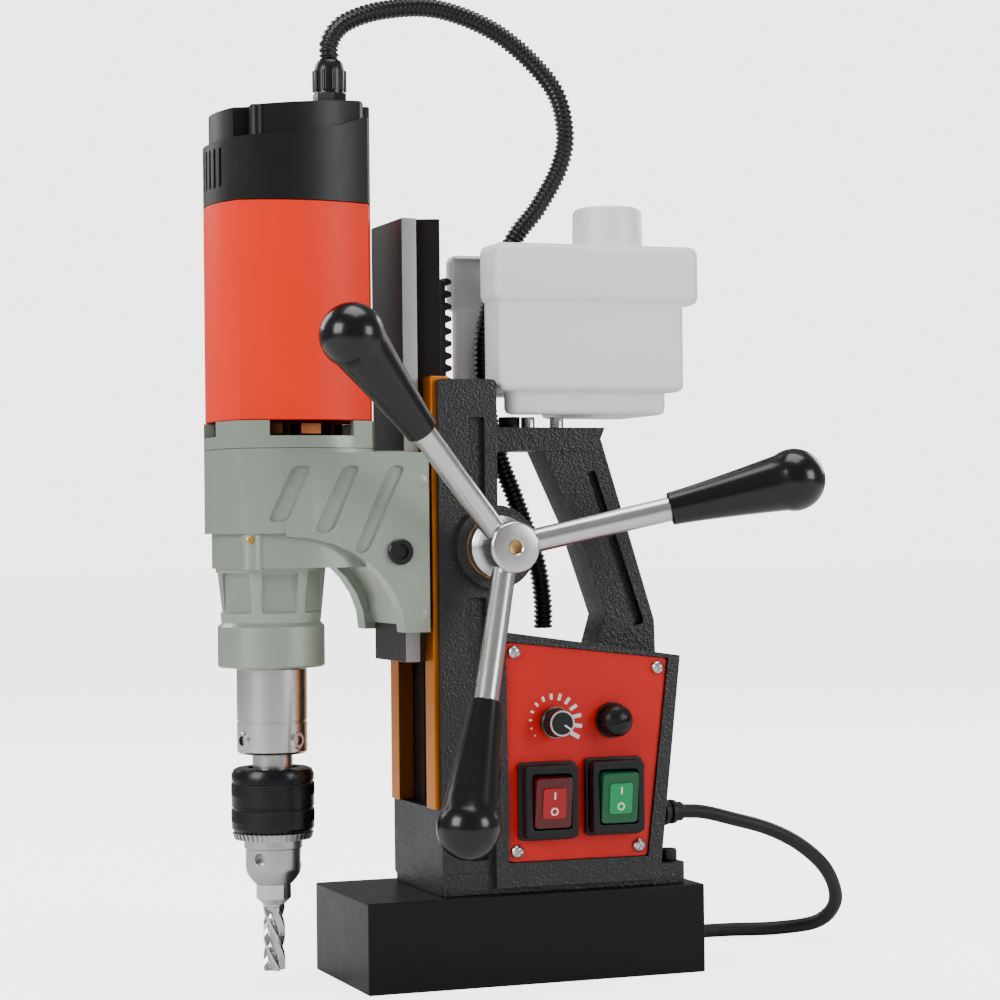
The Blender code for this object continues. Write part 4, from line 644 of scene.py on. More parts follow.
def even_path(dense: Sequence[Vector], spacing: float) -> list[Vector]:
    """Return points at even steps along a line of close points."""
    total = sum((b - a).length for a, b in zip(dense, dense[1:]))
    step = total / max(1, round(total / spacing))
    placed, left = [dense[0]], step
    for start, end in zip(dense, dense[1:]):
        span = (end - start).length
        walked = 0.0
        while span - walked >= left:
            walked += left
            placed.append(start.lerp(end, walked / span))
            left = step
        left -= span - walked
    if (placed[-1] - dense[-1]).length > step / 2:
        placed.append(dense[-1])
    else:
        placed[-1] = dense[-1]
    return placed


def path_length(points: Sequence[Vector]) -> float:
    """Return the length of a line of points."""
    return sum((b - a).length for a, b in zip(points, points[1:]))


def tube_curve(name: str, points: Sequence[Vector], radii: Sequence[float], sides: int) -> bpy.types.Object:
    """Return a curve object with a round section whose radius may change along it.

    Args:
        name: the object's name.
        points: the centreline.
        radii: the radius at each point.
        sides: a quarter of the faces round the section.

    Returns:
        The curve object.
    """
    line = bpy.data.curves.new(name, "CURVE")
    line.dimensions = "3D"
    line.bevel_depth = 1.0
    line.bevel_resolution = sides
    line.use_fill_caps = True
    spline = line.splines.new("POLY")
    spline.points.add(len(points) - 1)
    for spot, point, radius in zip(spline.points, points, radii):
        spot.co = (*point, 1.0)
        spot.radius = radius
    spline.use_smooth = True
    made = bpy.data.objects.new(name, line)
    bpy.context.scene.collection.objects.link(made)
    return made


# --- Studio ---------------------------------------------------------------------------------
@dataclass
class Studio:
    """The camera, the plain floor and the soft lights."""

    camera_place: Point = (1.292667, -0.486377, 0.225839)
    camera_azimuth: float = 69.478
    camera_elevation: float = -0.672
    camera_roll: float = -0.61
    lens: float = 96.49
    floor_radius: float = 14.0
    floor_lift: float = 3.2
    seen_light: float = 3.6
    room_light: float = 0.34
    aim: Point = (0.0, -0.03, 0.24)
    lamps: dict[str, tuple[Point, float, float]] = field(default_factory=lambda: {
        "left softbox": ((0.75, -1.75, 0.95), 0.95, 27.0),
        "right softbox": ((1.55, 1.30, 0.75), 0.80, 17.0),
        "overhead softbox": ((0.15, 0.10, 2.10), 1.30, 26.0),
        "rear softbox": ((-1.40, -0.90, 1.10), 0.90, 12.0),
        "rear right softbox": ((-0.90, 1.60, 0.90), 0.80, 10.0),
    })

    def build(self) -> None:
        """Set the camera, the floor, the lamps and the pale surroundings."""
        self._camera()
        self._floor()
        for name, (place, size, power) in self.lamps.items():
            self._lamp(name, Vector(place), size, power)
        self._surroundings()

    def _camera(self) -> None:
        """Place the camera."""
        lens = bpy.data.cameras.new("camera")
        lens.lens = self.lens
        lens.sensor_width = 36.0
        made = bpy.data.objects.new("camera", lens)
        turn = (Matrix.Rotation(math.radians(self.camera_azimuth), 4, "Z")
                @ Matrix.Rotation(math.radians(90 - self.camera_elevation), 4, "X")
                @ Matrix.Rotation(math.radians(self.camera_roll), 4, "Z"))
        made.matrix_world = Matrix.Translation(self.camera_place) @ turn
        bpy.context.scene.collection.objects.link(made)
        bpy.context.scene.camera = made

    def _floor(self) -> None:
        """Lay the pale floor."""
        mesh = bpy.data.meshes.new("floor")
        work = bmesh.new()
        bmesh.ops.create_circle(work, cap_ends=True, segments=64, radius=self.floor_radius)
        work.to_mesh(mesh)
        work.free()
        paint = bpy.data.materials.new("pale floor")
        paint.use_nodes = True
        shader = paint.node_tree.nodes["Principled BSDF"]
        shader.inputs["Base Color"].default_value = (0.80, 0.80, 0.80, 1.0)
        shader.inputs["Roughness"].default_value = 0.9
        shader.inputs["Specular IOR Level"].default_value = 0.1
        tree = paint.node_tree
        lifted = tree.nodes.new("ShaderNodeEmission")
        lifted.inputs["Color"].default_value = (1.0, 1.0, 1.0, 1.0)
        lifted.inputs["Strength"].default_value = self.floor_lift
        both = tree.nodes.new("ShaderNodeAddShader")
        eye = tree.nodes.new("ShaderNodeLightPath")
        either = tree.nodes.new("ShaderNodeMixShader")
        end = tree.nodes["Material Output"]
        tree.links.new(shader.outputs["BSDF"], both.inputs[0])
        tree.links.new(lifted.outputs["Emission"], both.inputs[1])
        tree.links.new(eye.outputs["Is Camera Ray"], either.inputs["Fac"])
        tree.links.new(shader.outputs["BSDF"], either.inputs[1])
        tree.links.new(both.outputs["Shader"], either.inputs[2])
        tree.links.new(either.outputs["Shader"], end.inputs["Surface"])
        mesh.materials.append(paint)
        made = bpy.data.objects.new("floor", mesh)
        bpy.context.scene.collection.objects.link(made)

    def _lamp(self, name: str, place: Vector, size: float, power: float) -> None:
        """Hang one square softbox that points at the machine."""
        light = bpy.data.lights.new(name, "AREA")
        light.shape = "SQUARE"
        light.size = size
        light.energy = power
        made = bpy.data.objects.new(name, light)
        aim = (Vector(self.aim) - place).to_track_quat("-Z", "Y")
        made.matrix_world = Matrix.Translation(place) @ aim.to_matrix().to_4x4()
        bpy.context.scene.collection.objects.link(made)

    def _surroundings(self) -> None:
        """Make the room: white to the eye, softer as a light."""
        world = bpy.data.worlds.new("pale room")
        bpy.context.scene.world = world
        world.use_nodes = True
        tree = world.node_tree
        seen = tree.nodes["Background"]
        seen.inputs["Color"].default_value = (1.0, 1.0, 1.0, 1.0)
        seen.inputs["Strength"].default_value = self.seen_light
        lit = tree.nodes.new("ShaderNodeBackground")
        lit.inputs["Strength"].default_value = self.room_light
        eye = tree.nodes.new("ShaderNodeLightPath")
        either = tree.nodes.new("ShaderNodeMixShader")
        end = tree.nodes["World Output"]
        tree.links.new(eye.outputs["Is Camera Ray"], either.inputs["Fac"])
        tree.links.new(lit.outputs["Background"], either.inputs[1])
        tree.links.new(seen.outputs["Background"], either.inputs[2])
        tree.links.new(either.outputs["Shader"], end.inputs["Surface"])


# --- Mains lead and hose --------------------------------------------------------------------
@dataclass
class MainsLead:
    """The mains lead: gland, free run, round coil, tail and plug."""

    radius: float = 0.00375
    run: tuple[Point, ...] = (
        (0.0, 0.0983, 0.0774), (0.0, 0.1100, 0.0765), (0.0, 0.1260, 0.0724), (-0.001, 0.1495, 0.0654),
        (-0.003, 0.1700, 0.0550), (-0.009, 0.1880, 0.0400), (-0.021, 0.1990, 0.0220),
        (-0.036, 0.1960, 0.0090), (-0.050, 0.1780, 0.0043), (-0.0565, 0.1500, 0.0041),
        (-0.0577, 0.1200, 0.0041), (-0.05775, 0.0995, 0.0041))
    coil_centre: Pair = (-0.104, 0.072)
    layers: tuple[float, ...] = (0.04625, 0.03862, 0.03099)
    levels: tuple[float, ...] = (0.0041, 0.0118, 0.0195)
    bend: float = 0.031
    plug_face: Point = (-0.1867, 0.0810, 0.0080)
    exit_height: float = 0.0774
    gland_wall: float = 0.0567

    def build(self) -> None:
        gland = self._gland()
        plug = self._plug()
        line = self._line()
        cord = tube_curve("mains_lead", line, [self.radius] * len(line), 3)
        cord.data.materials.append(RUBBER.material())
        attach(cord, Body.STAND.value)
        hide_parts("power_cord", "power_cord_coil", "power_cord_tail")

    def _line(self) -> list[Vector]:
        """Return the whole centreline, from the gland to the plug."""
        centre = Vector((*self.coil_centre, 0.0))
        marks = [Vector(point) for point in self.run]
        lead_in = smooth_path(self.run, 0.002)
        ring = []
        turned = 0.0
        while turned <= 1960.0:
            reach, height = self._wound(turned)
            angle = -math.radians(turned)
            ring.append(centre + Vector((reach * math.cos(angle), reach * math.sin(angle), height)))
            turned += 5.0
        tail = self._tail(ring[-1], -math.radians(1960.0))
        straight = [marks[-1].lerp(ring[0], share / 6) for share in range(1, 6)]
        return even_path([*lead_in, *straight, *ring, *tail], 0.004)

    def _wound(self, turned: float) -> Pair:
        """Return the radius and the height of the coil after so many degrees of winding."""
        outer, middle, inner = self.layers
        low, high, top = self.levels
        moves = [(300, outer, low), (360, outer, high), (600, outer, high), (660, middle, high),
                 (900, middle, high), (960, middle, low), (1200, middle, low), (1260, inner, low),
                 (1500, inner, low), (1560, inner, high), (1860, inner, high), (1920, inner, top),
                 (1960, inner, top)]
        before = (0, outer, low)
        for move in moves:
            if turned <= move[0]:
                share = (turned - before[0]) / (move[0] - before[0])
                eased = share * share * (3 - 2 * share)
                return (before[1] + (move[1] - before[1]) * eased,
                        before[2] + (move[2] - before[2]) * eased)
            before = move
        return (inner, top)

    def _tail(self, start: Vector, angle: float) -> list[Vector]:
        """Return the way from the coil's top, round one easy bend, down to the plug."""
        heading = angle - math.pi / 2
        target = math.pi
        heading = heading % math.tau
        points = []
        spot, steps = start.copy(), 16
        turn = (target - heading) / steps
        for _ in range(steps):
            heading += turn
            stride = self.bend * abs(turn)
            spot = spot + Vector((math.cos(heading), math.sin(heading), 0.0)) * stride
            points.append(spot.copy())
        end = Vector(self.plug_face)
        drop = [points[-1] + (end - points[-1]) * (share / 8) for share in range(1, 9)]
        for count, point in enumerate(drop, start=1):
            share = count / 8
            eased = share * share * (3 - 2 * share)
            point.z = points[-1].z + (end.z - points[-1].z) * eased
        return [*points, *drop]

    def _gland(self) -> bpy.types.Object:
        """Build the ribbed strain relief that tapers onto the lead."""
        wall, end = self.gland_wall, self.run[0][1]
        profile = [(0.0, wall - 0.010), (0.0060, wall - 0.010), (0.0060, wall), (0.0112, wall),
                   (0.0115, wall + 0.0006), (0.0115, wall + 0.0060), (0.0103, wall + 0.0068)]
        ribs = 7
        start = wall + 0.0075
        for rib in range(ribs):
            share = rib / ribs
            low = start + (end - 0.003 - start) * share
            high = start + (end - 0.003 - start) * (share + 0.62 / ribs)
            reach = 0.0104 - 0.0046 * share
            profile += [(reach - 0.0012, low), (reach, low + 0.0004), (reach - 0.0003, high),
                        (reach - 0.0014, high + 0.0003)]
        profile += [(0.0050, end - 0.0010), (0.0044, end - 0.0003), (0.0, end - 0.0003)]
        shape = Solid.turned(profile, Axis.Y, (0.0, 0.0, self.exit_height), 48)
        return shape.piece("strain_relief", RUBBER, Body.STAND, ["cord_gland"])

    def _plug(self) -> bpy.types.Object:
        """Build the moulded plug with its two blades and earth pin."""
        low, high = Vector((-0.2240, 0.0685, 0.0005)), Vector((-0.1867, 0.0935, 0.0160))
        middle = (low + high) / 2
        outline = [(low.x, low.y), (high.x - 0.010, low.y), (high.x, middle.y - 0.0055),
                   (high.x, middle.y + 0.0055), (high.x - 0.010, high.y), (low.x, high.y)]
        shape = Solid.slab(outline, Axis.Z, low.z, high.z, corner=0.003, rim=0.0016)
        grooves = [Solid.block((high.x - 0.0135 - 0.0042 * count, low.y - 0.01, high.z - 0.0011),
                               (high.x - 0.0115 - 0.0042 * count, high.y + 0.01, high.z + 0.01))
                   for count in range(4)]
        shape.cut(*grooves).soften(0.0003, angle=50)
        reach = low.x - 0.018
        for offset in (-0.0064, 0.0064):
            y = middle.y + offset
            shape.add(Solid.block((reach, y - 0.00075, middle.z - 0.0005),
                                  (low.x + 0.002, y + 0.00075, middle.z + 0.0057), 0.0003)
                      .paint(1, lambda face: True))
        shape.add(Solid.rod(0.0023, Axis.X, (0.0, middle.y, middle.z - 0.0045), reach - 0.002,
                            low.x + 0.002, 20, 0.0006).paint(1, lambda face: True))
        return shape.piece("moulded_plug", [RUBBER, BRASS], Body.STAND, ["power_plug"])


@dataclass
class WiringHose:
    """The corrugated hose from the control box to the motor, and its gland."""

    radius: float = 0.0050
    groove: float = 0.0041
    pitch: float = 0.0026
    route: tuple[Point, ...] = (
        (-0.0220, 0.0292, 0.1748), (-0.0220, 0.0290, 0.1900), (-0.0220, 0.0255, 0.2110),
        (-0.0220, 0.0145, 0.2420), (-0.0225, 0.0060, 0.2640), (-0.0215, -0.0010, 0.2900),
        (-0.0180, -0.0045, 0.3150), (-0.0160, -0.0030, 0.3350), (-0.0150, 0.0100, 0.3740),
        (-0.0140, 0.0260, 0.3960), (-0.0130, 0.0380, 0.4180), (-0.0110, 0.0400, 0.4380),
        (-0.0080, 0.0305, 0.4600), (-0.0050, 0.0020, 0.4830), (-0.0020, -0.0320, 0.4937),
        (0.0, -0.0620, 0.4915), (0.0, -0.0830, 0.4840), (0.0, -0.0915, 0.4740), (0.0, -0.0920, 0.4645))
    gland_place: Pair = (0.0, -0.092)
    gland_base: float = 0.4425

    def build(self) -> None:
        """Build the hose along its route, and build its gland."""
        line = smooth_path(self.route, self.pitch / 4)
        ribs = (self.groove, self.radius, self.radius, self.groove)
        radii = [ribs[count % 4] for count in range(len(line))]
        tube = tube_curve("hose line", line, radii, 3)
        bpy.context.view_layer.update()
        result = tube.evaluated_get(bpy.context.evaluated_depsgraph_get())
        mesh = bpy.data.meshes.new_from_object(result)
        bpy.data.objects.remove(tube)
        mesh.name = "wiring_hose"
        mesh.materials.clear()
        mesh.materials.append(HOSE_BLACK.material())
        made = bpy.data.objects.new("wiring_hose", mesh)
        bpy.context.scene.collection.objects.link(made)
        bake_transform(made)
        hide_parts("wiring_conduit")
        self._gland()
        log.info("built wiring hose: %.3f m", path_length(line))

    def _gland(self) -> None:
        """Build the hexagon foot and the ribbed nut that hold the hose to the motor."""
        x, y = self.gland_place
        base = self.gland_base
        hexagon = [(x + 0.0086 * math.cos(math.tau * side / 6), y + 0.0086 * math.sin(math.tau * side / 6))
                   for side in range(6)]
        shape = Solid.slab(hexagon, Axis.Z, base, base + 0.0050, rim=0.0006)
        nut = Solid.turned([(0.0, base + 0.0045), (0.0076, base + 0.0045), (0.0078, base + 0.016),
                            (0.0070, base + 0.0195), (0.0058, base + 0.0213), (0.0, base + 0.0213)],
                           Axis.Z, (x, y, 0.0), 40)
        shape.join(nut)
        for rib in range(10):
            angle = math.tau * rib / 10
            spot = (x + 0.0076 * math.cos(angle), y + 0.0076 * math.sin(angle), 0.0)
            shape.add(Solid.rod(0.0011, Axis.Z, spot, base + 0.0055, base + 0.0165, 10, 0.0005))
        shape.piece("hose_gland", HOSE_BLACK, Body.CARRIAGE, ["conduit_gland"])


# --- Stand ----------------------------------------------------------------------------------
@dataclass
class Stand:
    """The magnet, the cast stand, its rails and its screws."""

    magnet_rim: float = 0.0009
    casting_rim: float = 0.0013
    rail_rim: float = 0.0004
    screw_spots: tuple[Pair, ...] = ((0.028, 0.077), (-0.028, 0.077))
    screw_seat: float = 0.0557

    def build(self) -> None:
        """Build every piece of the stand."""
        Solid.of_node("magnet_base").soften(self.magnet_rim, 40).piece(
            "magnet", MAGNET_PAINT, Body.STAND, ["magnet_base"])
        Solid.of_node("stand_casting").soften(self.casting_rim, 40).piece(
            "casting", CAST_PAINT, Body.STAND, ["stand_casting"])
        for side in ("near", "far"):
            Solid.of_node(f"guide_rail_{side}").soften(self.rail_rim).piece(
                f"rail_{side}", GOLD, Body.STAND, [f"guide_rail_{side}"])
        for side, (x, y) in zip(("near", "far"), self.screw_spots):
            self._flange_screw(side, x, y)
        keep_nodes(BRONZE, "pinion_bush_near", "pinion_bush_far")
        keep_nodes(POTTING, "magnet_coil")

    def _flange_screw(self, side: str, x: float, y: float) -> None:
        """Build one socket screw of the flange."""
        seat = self.screw_seat
        profile = [(0.0, seat - 0.0065), (0.0016, seat - 0.0065), (0.0016, seat + 0.0003),
                   (0.0046, seat + 0.0003), (0.0048, seat + 0.0006), (0.0048, seat + 0.0056),
                   (0.0043, seat + 0.0062), (0.0, seat + 0.0062)]
        shape = Solid.turned(profile, Axis.Z, (x, y, 0.0), 32)
        hexagon = [(x + 0.0027 * math.cos(math.tau * corner / 6), y + 0.0027 * math.sin(math.tau * corner / 6))
                   for corner in range(6)]
        shape.cut(Solid.slab(hexagon, Axis.Z, seat + 0.003, seat + 0.01))
        shape.piece(f"flange_screw_{side}", SCREW_BLACK, Body.STAND, [f"base_screw_{side}"])


# --- Control box ----------------------------------------------------------------------------
@dataclass
class ControlBox:
    """The red panel with its screws, dial, fuse and two rocker switches."""

    face: float = 0.0405
    screw_spots: tuple[Pair, ...] = ((-0.0105, 0.0660), (0.0556, 0.0660), (0.0668, 0.1557),
                                     (-0.0112, 0.1655))
    knob_spot: Pair = (0.0092, 0.1300)
    knob_radius: float = 0.0078
    knob_foot: float = 0.0433
    knob_crown: float = 0.0538
    fuse_spot: Pair = (0.0412, 0.1299)
    fuse_low: float = 0.0433
    rocker_axis: float = 0.048
    rocker_half: Pair = (0.0098, 0.0128)
    rocker_tilt: float = 7.0
    ticks: int = 13

    def build(self) -> None:
        """Build the panel and everything on it."""
        Solid.of_node("control_panel").soften(0.0004, 40).piece(
            "panel_plate", PANEL_RED, Body.STAND, ["control_panel"])
        for number, (y, z) in enumerate(self.screw_spots, start=1):
            self._panel_screw(number, y, z)
        self._scale_marks()
        self._knob()
        self._fuse()
        self._switch("motor", (0.0052, 0.0908), (ROCKER_RED, PAD_RED), Body.MOTOR_ROCKER)
        self._switch("magnet", (0.0411, 0.0918), (ROCKER_GREEN, PAD_GREEN), Body.MAGNET_ROCKER)
        keep_nodes(BOARD, "control_board")
        keep_nodes(ZINC, "speed_control")
        keep_nodes(SWITCH_BLACK, "fuse_holder")

    def _panel_screw(self, number: int, y: float, z: float) -> None:
        """Build one pan-head screw with a cross recess."""
        face = self.face
        profile = [(0.0, face - 0.008), (0.0016, face - 0.008), (0.0016, face + 0.0003),
                   (0.0033, face + 0.0003), (0.0034, face + 0.0008), (0.0030, face + 0.0017),
                   (0.0019, face + 0.0024), (0.0, face + 0.0027)]
        shape = Solid.turned(profile, Axis.X, (0.0, y, z), 28)
        arms = [Solid.block((face + 0.0010, -0.0020, -0.00038), (face + 0.01, 0.0020, 0.00038))
                .turn(25.0 + 90.0 * arm + 17 * number, Axis.X, (0.0, 0.0, 0.0)).shift((0.0, y, z))
                for arm in range(2)]
        shape.cut(*arms)
        shape.piece(f"cross_screw_{number}", ZINC, Body.STAND, [f"panel_screw_{number}"])

    def _scale_marks(self) -> None:
        """Print the arc of growing marks round the dial."""
        y, z = self.knob_spot
        marks = Solid()
        for tick in range(self.ticks):
            share = tick / (self.ticks - 1)
            angle = math.radians(215.0 - 245.0 * share)
            inner, outer = 0.0112, 0.0118 + 0.0048 * share
            half = 0.00035 + 0.0007 * share
            bar = Solid.block((self.face, -half, inner), (self.face + 0.00012, half, outer))
            bar.turn(math.degrees(angle) - 90.0, Axis.X, (0.0, 0.0, 0.0)).shift((0.0, y, z))
            marks.add(bar)
        marks.piece("dial_scale", PRINT_WHITE, Body.STAND)

    def _knob(self) -> None:
        """Build the fluted knob with its bright rim and pointer."""
        y, z = self.knob_spot
        foot, crown, radius = self.knob_foot, self.knob_crown, self.knob_radius
        profile = [(0.0, foot), (radius, foot), (radius, foot + 0.0022), (radius * 0.90, foot + 0.0030),
                   (radius * 0.88, crown - 0.0010), (radius * 0.80, crown), (0.0, crown)]
        shape = Solid.turned(profile, Axis.X, (0.0, y, z), 72)
        flutes = [Solid.rod(0.0007, Axis.X, (0.0, y + radius * 0.93 * math.cos(math.tau * spot / 24),
                                             z + radius * 0.93 * math.sin(math.tau * spot / 24)),
                            foot + 0.003, crown + 0.001, 10) for spot in range(24)]
        shape.cut(*flutes)
        shape.cut(Solid.rod(0.0033, Axis.X, (0.0, y, z), foot - 0.001, crown - 0.0027, 24))
        for low, reach in ((crown - 0.0004, radius * 0.83), (foot + 0.0018, radius * 0.995)):
            ring = Solid.turned([(reach - 0.0008, low), (reach, low), (reach, low + 0.0006),
                                 (reach - 0.0008, low + 0.0006)], Axis.X, (0.0, y, z), 64, closed=True)
            shape.add(ring.paint(1, lambda face: True))
        pointer = Solid.block((crown - 0.0002, -0.0004, 0.0016), (crown + 0.0003, 0.0004, radius * 0.76))
        pointer.turn(-125.0, Axis.X, (0.0, 0.0, 0.0)).shift((0.0, y, z))
        shape.add(pointer.paint(2, lambda face: True))
        shape.piece("fluted_knob", [SWITCH_BLACK, ZINC, PRINT_WHITE], Body.SPEED_DIAL, ["speed_knob"])

    def _fuse(self) -> None:
        """Build the fuse holder's domed cap with its coin slot."""
        y, z = self.fuse_spot
        low = self.fuse_low
        radius = 0.0079
        profile = [(0.0, low), (radius, low), (radius, low + 0.0060), (radius * 0.93, low + 0.0074),
                   (radius * 0.78, low + 0.0088), (radius * 0.45, low + 0.0101), (0.0, low + 0.0105)]
        shape = Solid.turned(profile, Axis.X, (0.0, y, z), 56)
        slot = Solid.block((low + 0.0086, -0.0048, -0.0008), (low + 0.013, 0.0048, 0.0008))
        shape.cut(slot.turn(12.0, Axis.X, (0.0, 0.0, 0.0)).shift((0.0, y, z)))
        ribs = [Solid.rod(0.00045, Axis.X, (0.0, y + radius * math.cos(math.tau * rib / 30),
                                            z + radius * math.sin(math.tau * rib / 30)),
                          low + 0.0004, low + 0.0058, 8) for rib in range(30)]
        shape.cut(*ribs)
        shape.piece("domed_fuse_cap", SWITCH_BLACK, Body.FUSE_TOP, ["fuse_cap"])

    def _switch(self, name: str, spot: Pair, finishes: tuple[Finish, Finish], body: Body) -> None:
        """Build one switch: its stepped guard and its rocker with the two marks.

        Args:
            name: which switch this is.
            spot: its centre on the panel.
            finishes: the cover's finish and the pad's.
            body: the rocker's own body.
        """
        Solid.of_node(f"{name}_switch_body").soften(0.0006, 40).piece(
            f"{name}_guard", SWITCH_BLACK, Body.STAND, [f"{name}_switch_body"])
        y, z = spot
        half_y, half_z = self.rocker_half
        back = self.rocker_axis - 0.0015
        front = back + 0.0065
        cover = Solid.slab([(y - half_y, z - half_z), (y + half_y, z - half_z), (y + half_y, z + half_z),
                            (y - half_y, z + half_z)], Axis.X, back, front - 0.0012, corner=0.002, rim=0.0007)
        inner_y, inner_z = 0.0062, 0.0078
        pad = Solid.slab([(y - inner_y, z - inner_z), (y + inner_y, z - inner_z), (y + inner_y, z + inner_z),
                          (y - inner_y, z + inner_z)], Axis.X, front - 0.0014, front - 0.0002,
                         corner=0.0016, rim=0.0005)
        cover.add(pad.paint(1, lambda face: True))
        bar = Solid.block((front - 0.0003, y - 0.0004, z + 0.0022), (front, y + 0.0004, z + 0.0058))
        ring = Solid.turned([(0.0013, front - 0.0003), (0.0020, front - 0.0003), (0.0020, front),
                             (0.0013, front)], Axis.X, (0.0, y, z - 0.0040), 32, closed=True)
        cover.add(bar.paint(2, lambda face: True), ring.paint(2, lambda face: True))
        cover.turn(self.rocker_tilt, Axis.Y, (self.rocker_axis, y, z))
        cover.piece(f"{name}_rocker_cover", [*finishes, PRINT_WHITE], body, [f"{name}_switch_rocker"])


# --- Coolant bottle -------------------------------------------------------------------------
@dataclass
class CoolantBottle:
    """The blow-moulded coolant bottle with its cap, studs and outlet."""

    wall: float = 0.0018
    half_width: float = 0.0375
    front: float = -0.0155
    rear: float = 0.086
    base: float = 0.285
    foot_top: float = 0.297
    band_low: float = 0.341
    top: float = 0.371
    notch: tuple[float, float, float] = (-0.028, 0.012, 0.024)
    filler_y: float = 0.059
    filler_radius: float = 0.0140
    filler_top: float = 0.389
    cap_low: float = 0.3713
    cap_top: float = 0.394
    cap_radius: float = 0.0184

    def build(self) -> None:
        """Build the bottle and what holds it."""
        shape = self._level(0.0, 0.0, self.foot_top - 0.0005, self.top - 0.004, 0.0065, 0.0032)
        shape.join(self._level(0.0025, 0.0055, self.band_low, self.top, 0.0085, 0.0040),
                   self._foot(0.0, self.base, self.foot_top + 0.004, 0.0060, 0.0030),
                   Solid.rod(self.filler_radius, Axis.Z, (0.0, self.filler_y, 0.0), self.top - 0.003,
                             self.filler_top, 48, 0.0005))
        wall = self.wall
        shape.cut(self._level(-wall, 0.0, self.foot_top + wall, self.top - 0.005, 0.0020, 0.0),
                  self._level(0.0025 - wall, 0.0055, self.band_low + wall, self.top - wall, 0.0020, 0.0),
                  Solid.rod(self.filler_radius - wall, Axis.Z, (0.0, self.filler_y, 0.0),
                            self.top - 0.004, self.filler_top + 0.01, 48))
        shape.soften(0.0012, 55, 2, lambda spot: spot.z > self.base + 0.004)
        shape.piece("bottle", TANK_WHITE, Body.STAND, ["coolant_tank"], sharp=60)
        self._cap()
        keep_nodes(BRIGHT_STEEL, "tank_stud_front", "tank_stud_rear")
        keep_nodes(RUBBER, "tank_outlet")

    def _level(self, out: float, out_rear: float, low: float, high: float, corner: float,
               rim: float) -> Solid:
        """Return one level of the bottle, with the notch for the hose in its front.

        Args:
            out: how far its sides stand out of the body's.
            out_rear: how much further its rear stands out.
            low: where it starts.
            high: where it ends.
            corner: the radius of its upright edges.
            rim: the radius of its rims.

        Returns:
            The level as a slab.
        """
        half, front, rear = self.half_width + out, self.front - out, self.rear + out + out_rear
        left, right, end = self.notch
        if out < 0:
            left, right, end = left + out, right - out, end - out
        corners = [(-half, rear), (-half, front), (left, front), (left, end), (right, end),
                   (right, front), (half, front), (half, rear)]
        corner = min(corner, (left + half) * 0.42)
        return Solid.slab(corners, Axis.Z, low, high, corner=corner, rim=min(rim, corner * 0.8))

    def _foot(self, out: float, low: float, high: float, corner: float, rim: float) -> Solid:
        """Return the narrower foot, which passes beside and behind the notch."""
        step = 0.007
        half, rear, front = self.half_width - step + out, self.rear - step + out, self.front + step - out
        side, end = self.notch[1] + step - out, self.notch[2] + step - out
        corners = [(-half, rear), (-half, end), (side, end), (side, front), (half, front), (half, rear)]
        return Solid.slab(corners, Axis.Z, low, high, corner=min(corner, (half - side) * 0.45), rim=rim)

    def _cap(self) -> None:
        """Build the screw cap, open below, with a fine seam and a shallow top dish."""
        low, top, radius = self.cap_low, self.cap_top, self.cap_radius
        inner = 0.0143
        profile = [(0.0, 0.3893), (inner, 0.3893), (inner, low), (radius - 0.0006, low),
                   (radius, low + 0.0006), (radius, low + 0.0050), (radius - 0.0004, low + 0.0054),
                   (radius - 0.0004, low + 0.0060), (radius, low + 0.0064), (radius - 0.0004, top - 0.0026),
                   (radius - 0.0012, top - 0.0010), (radius - 0.0030, top - 0.0001),
                   (radius - 0.0050, top - 0.0004), (radius - 0.0060, top - 0.0009), (0.0, top - 0.0009)]
        Solid.turned(profile, Axis.Z, (0.0, self.filler_y, 0.0), 72).piece(
            "bottle_cap", TANK_WHITE, Body.FILLER_CAP, ["tank_cap"])


